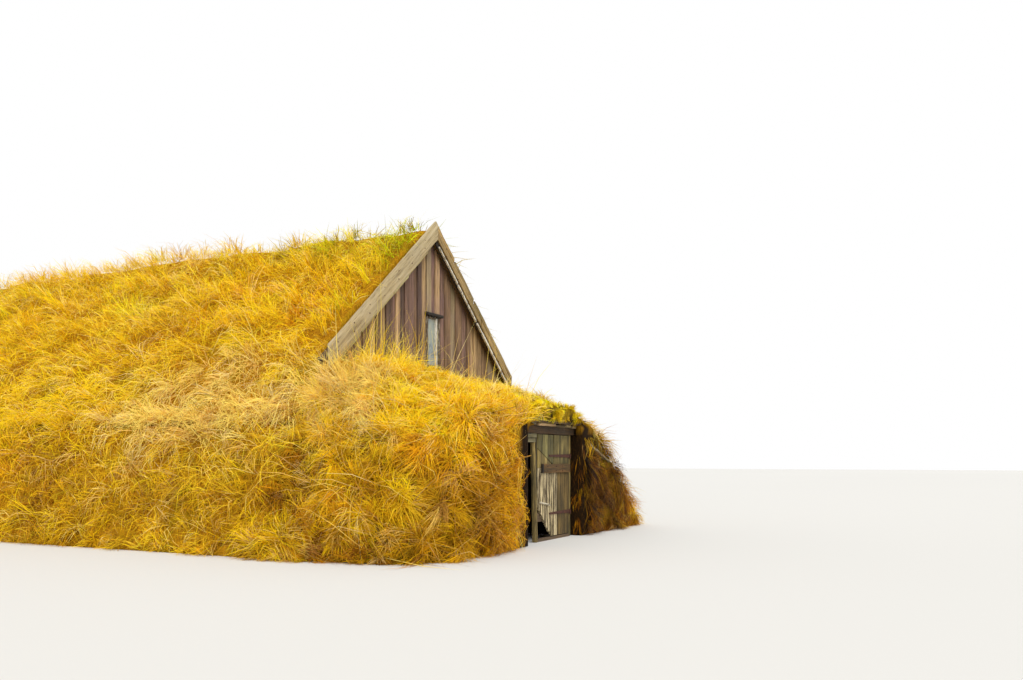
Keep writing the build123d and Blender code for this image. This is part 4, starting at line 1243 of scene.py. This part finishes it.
def corner_colours(centre, upright, tussock, strand_of, strand, colour, rng):
    """A colour for each corner of each blade: part its tussock's, part its strand's, with painted light and
    shade, and painted shade at the root.
    """
    count = len(tussock)
    mood = mood_at(centre, upright)
    base = tussock_colours(centre, rng, mood) if colour is None else np.tile(BLADES[colour], (len(centre), 1))
    own = rng.choice([GOLD, STRAW, BLEACHED, OCHRE], size=len(strand_of), p=[0.44, 0.3, 0.16, 0.1])
    brown = mood["brown"].clip(0, 1)
    dull = rng.random(len(strand_of)) < 0.06 + 0.75 * brown[tussock[strand_of]]
    own[dull] = rng.choice([OCHRE, BROWN, RUSSET, DARK], size=dull.sum(), p=[0.34, 0.3, 0.1, 0.26])
    lush = rng.random(len(strand_of)) < (mood["green"] - 0.4).clip(0, 0.6)[tussock[strand_of]]
    own[lush] = OLIVE
    # painted light and shade: each tussock, strand and blade is made lighter or darker at random, and by the
    # painted light of its place
    painted_light = rng.uniform(0.9, 1.18, len(centre))[tussock] * rng.uniform(0.58, 1.32, len(strand_of))[strand]
    painted_light = 1.04 * painted_light * rng.uniform(0.85, 1.15, count) * mood["light"][tussock]
    tint = (TUSSOCK_SHARE * base[tussock] + (1 - TUSSOCK_SHARE) * BLADES[own][strand]) * painted_light[:, None]
    # straw in shade turns redder as well as darker, because its light comes from other straw
    dusk = (painted_light / PAINTED_LIGHT_PIVOT).clip(0.3, 1.15)
    tint = tint * np.stack([np.ones(count), dusk ** 0.4, dusk ** 0.8], axis=1)
    tint = tint / np.maximum(tint.max(axis=1), 1.0)[:, None]
    # painted shade at the roots, down among the blades, and the tips painted a little lighter
    root_shade = 0.85 - 0.6 * brown[tussock]
    shade = np.stack([root_shade, root_shade, np.ones(count), np.ones(count), np.full(count, 1.15)], axis=1)
    colours = np.ones((count, 5, 4))
    colours[:, :, :3] = tint[:, None, :] * shade[:, :, None]
    return colours


# %% Blades as one mesh
def blade_mesh(name, points, colours):
    """One object of all the blades: a four-sided face and a pointed tip for each, with their colours."""
    count = len(points)
    points = np.clip(points.reshape(-1, 3), BLADE_LOW, BLADE_HIGH)
    first = np.arange(count)[:, None] * 5
    loops = np.concatenate([(first + [0, 1, 2, 3]).ravel(), (first + [3, 2, 4]).ravel()])
    starts = np.concatenate([np.arange(count) * 4, count * 4 + np.arange(count) * 3])
    mesh = bpy.data.meshes.new(name)
    mesh.vertices.add(len(points))
    mesh.vertices.foreach_set("co", points.ravel())
    mesh.loops.add(len(loops))
    mesh.loops.foreach_set("vertex_index", loops)
    mesh.polygons.add(len(starts))
    mesh.polygons.foreach_set("loop_start", starts)
    mesh.update(calc_edges=True)
    blade_colour_and_light = mesh.color_attributes.new("blade_colour_and_light", "FLOAT_COLOR", "POINT")
    blade_colour_and_light.data.foreach_set("color", colours.clip(0, 1).ravel())
    piece = bpy.data.objects.new(name, mesh)
    bpy.context.scene.collection.objects.link(piece)
    return piece


def grow(
    name, ground, count, keep, seed, length=(0.22, 0.46), wide=0.0075, lift=0.45, droop=(0.1, 0.7),
    spread=0.27, comb=1.0, burst=0.55, stray=0.5, hump=0.07, colour=None,
):
    """Blades of grass all over the outdoor faces of a sod, joined in one mesh.

    Length and wide are a blade's, in metres. Lift is how steeply it rises and droop how much it bends over,
    in radians. Spread is how far apart the tussocks are, and hump how high their middles stand. Comb, burst
    and stray are how much blades lie down the slope, away from the tussock's middle, and at random.
    """
    rng = np.random.default_rng(seed)
    root, normal, area = scatter(ground, count, keep, rng)
    centre_of, tussock = gather(root, area, spread, rng)
    strand_of, strand = gather(root, area, STRAND, rng)
    centre = root[centre_of]
    away = (root - centre[tussock]) / spread
    distance = np.linalg.norm(away, axis=1)
    root = root - 0.25 * spread * away
    lie = lie_of(root, normal, away, strand, len(strand_of), rng, comb, burst, stray)
    vigour = (1.0 + 0.28 * rng.standard_normal(len(centre))).clip(0.5, 1.6)[tussock]
    points = blade_corners(root, normal, lie, distance, vigour, rng, length, wide, lift, droop, hump)
    upright = 1 - normal[centre_of, 2].clip(0, 1)
    colours = corner_colours(centre, upright, tussock, strand_of, strand, colour, rng)
    clear = ~(fouls_door(points) | pierces_gable(points))
    piece = blade_mesh(name, points[clear], colours[clear])
    finish(piece, dry_grass)
    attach(piece, "house")
    print(name, "blades", clear.sum(), "triangles", 3 * clear.sum(), "area", round(float(area), 1))


# %% [markdown]
# ## Where the grass grows
# Grass roots only where there is light. None grows on the cut faces behind the bargeboards or round the
# door's frame, and the porch is trodden short and half given over to moss, which has holes where the soil
# shows. Long seed stalks stand out of the front wall and in front of the gable, thin and bleached. Beside
# the door dead roots hang down the turf's cut face, and tufts close the gap at the left bargeboard's foot.

# %% Growing rules
def behind_gable(points, normals):
    """Roof turf, but not its cut face behind the gable's boards."""
    return (points[:, 1] > GABLE_FACE + 0.02) & (normals[:, 1] > -0.6)


def front_turf(points, normals):
    """The turf in front of the gable, but not round the door's frame or against the planks."""
    x, y, z = points.T
    doorway = (x > -1.1) & (x < 0.74) & (y < DOOR_FACE + 0.35) & (z < lintel_high.z + 0.03)
    return ~doorway & ((y < BARGE_FRONT - 0.05) | (z < 1.9) | (np.abs(x) > 2.5))


def porch_long(points, normals):
    """The back and the left of the porch roof, where nobody treads."""
    return front_turf(points, normals) & ~porch_short(points, normals)


def porch_short(points, normals):
    """The edge of the porch roof over the door."""
    return (points[:, 1] < DOOR_FACE + 0.35) & (points[:, 0] > -0.75)


def porch_moss_turf(points, normals):
    """The edge of the porch roof, but for the holes in its moss."""
    return porch_short(points, normals) & (lumps(points, MOSS_PATCH, MOSS_SEED) < MOSS_TOP)


def doorway_side(points, normals):
    """The turf's cut face between the door's right post and the porch's front."""
    x, y, z = points.T
    return (np.abs(x - 0.7) < 0.04) & (y < DOOR_FACE) & (z < lintel_low.z)


def stalk_turf(points, normals):
    """The front turf left of the door."""
    return front_turf(points, normals) & (points[:, 0] < -0.9)


def gable_foot(points, normals):
    """The turf just in front of the gable's left half."""
    x, y, z = points.T
    return (x > -2.2) & (x < -0.5) & (y < BARGE_FRONT - 0.05) & (y > BARGE_FRONT - 0.4) & (z > 1.7)


def left_foot(points, normals):
    """The turf round the foot of the left bargeboard."""
    x, y, z = points.T
    return (np.abs(x + 2.58) < 0.3) & (y < GABLE_FACE - 0.1) & (y > GABLE_FACE - 0.7) & (z > 1.6)


def anywhere(points, normals):
    """All of a sod's outdoor faces."""
    return np.ones(len(points))


thin = 1.0
grow(
    "left_roof_grass", "left_roof_turf", int(64000 * thin), behind_gable, 1, length=(0.2, 0.42), lift=0.95,
    droop=(0.1, 1.1), comb=0.5, burst=0.45, stray=0.55,
)
grow("right_roof_grass", "right_roof_turf", int(30000 * thin), behind_gable, 2, wide=0.01)
grow(
    "front_left_grass", "front_left_wall", int(60000 * thin), front_turf, 3, length=(0.17, 0.36), wide=0.0063,
    lift=0.75, droop=(0.3, 1.3), comb=0.3, burst=0.2, stray=1.0,
)
grow(
    "front_right_grass", "front_right_wall", int(24000 * thin), front_turf, 4, length=(0.16, 0.34),
    wide=0.0065, lift=0.5, droop=(0.2, 1.0), comb=0.9, burst=0.3, stray=0.6,
)
grow(
    "porch_grass", "porch_roof_turf", int(18000 * thin), porch_long, 5, length=(0.1, 0.22), lift=0.5,
    comb=0.3, burst=0.3, stray=0.7, hump=0.04,
)
grow(
    "porch_moss", "porch_roof_turf", int(12000 * thin), porch_moss_turf, 10, length=(0.04, 0.1), wide=0.009,
    lift=1.0, spread=0.12, hump=0.03, colour=MOSS,
)
grow(
    "doorway_roots", "front_right_wall", int(260 * thin), doorway_side, 12, length=(0.08, 0.2), wide=0.005,
    lift=0.05, droop=(0.0, 0.1), burst=0.1, stray=0.25, hump=0.035, colour=BROWN,
)
grow(
    "left_side_grass", "left_side_wall", int(36000 * thin), anywhere, 6, length=(0.2, 0.42), lift=0.7,
    droop=(0.25, 1.2), comb=0.35, burst=0.22, stray=0.95,
)
grow("right_side_grass", "right_side_wall", int(10000 * thin), anywhere, 7, length=(0.3, 0.5), wide=0.013)
grow("back_grass", "back_wall", int(12000 * thin), anywhere, 8, length=(0.3, 0.5), wide=0.012)
grow(
    "front_stalks", "front_left_wall", int(900 * thin), stalk_turf, 9, length=(0.45, 0.85), wide=0.006,
    lift=0.9, droop=(0.0, 0.6), comb=0.1, stray=0.9, colour=BLEACHED,
)
grow(
    "gable_foot_stalks", "front_left_wall", int(240 * thin), gable_foot, 13, length=(0.35, 0.75), wide=0.004,
    lift=1.35, droop=(-0.1, 0.5), comb=0.0, burst=0.2, stray=0.4, hump=0.03,
)
grow(
    "left_foot_tufts", "front_left_wall", int(700 * thin), left_foot, 11, length=(0.22, 0.4), wide=0.005,
    lift=1.2, droop=(0.0, 0.5), comb=0.0, stray=0.5,
)

# %% [markdown]
# ## Floor and light
# The house stands on a plain pale floor under an even, cloudy light: a bright sky all round, and one
# wide soft lamp high up on the camera's side, so that the roof is a little lighter than the walls.

# %% Floor, sky and lamp
bpy.ops.object.select_all(action="DESELECT")
bpy.ops.mesh.primitive_plane_add(size=160, location=(0, 0, 0))
floor = bpy.context.object
floor.name = "floor"
floor_material, floor_output = new_material("pale_plaster_floor")
mottle = add_node(floor_material, "TexNoise", {"Scale": 3.0, "Detail": 3.0}).outputs[0]
floor_colour = ramp(floor_material, mottle, (0.3, "#dfdedb"), (0.7, "#e3e2df"))
finish_surface(floor_material, floor_output, floor_colour, 0.9)
finish(floor, floor_material)
floor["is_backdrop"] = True

world = bpy.data.worlds.new("cloudy_sky")
bpy.context.scene.world = world
world.use_nodes = True
world.node_tree.nodes.clear()
sky_output = add_node(world, "OutputWorld")
light_path = add_node(world, "LightPath")
seen = {0: light_path.outputs["Is Camera Ray"], 1: light_path.outputs["Is Glossy Ray"]}
seen_directly = add_node(world, "Math", seen, operation="MAXIMUM").outputs[0]
lighting = add_node(world, "Background", {"Color": linear("#fffdf8"), "Strength": 0.7})
backdrop = add_node(world, "Background", {"Color": (1, 1, 1, 1), "Strength": 1.0})
sky = add_node(world, "MixShader", {0: seen_directly, 1: lighting.outputs[0], 2: backdrop.outputs[0]})
world.node_tree.links.new(sky.outputs[0], sky_output.inputs["Surface"])

lamp_data = bpy.data.lights.new("cloud_light", "SUN")
lamp_data.energy = 2.15
lamp_data.angle = math.radians(50)
lamp = bpy.data.objects.new("cloud_light", lamp_data)
lamp.rotation_euler = (math.radians(38), math.radians(-24), math.radians(-15))
bpy.context.scene.collection.objects.link(lamp)

bpy.context.scene.view_settings.view_transform = "Standard"

# %% [markdown]
# ## Last checks
# The box of the dressed house is set down beside the box of the solids, because grass may stand a little
# proud of them and no more.

# %% Sizes and the end
shown_low, shown_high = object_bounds()
for axis, low, high, solid_low, solid_high in zip("xyz", shown_low, shown_high, cad_low, cad_high):
    print("grown along", axis, "by", round(solid_low - low, 3), "and", round(high - solid_high, 3))
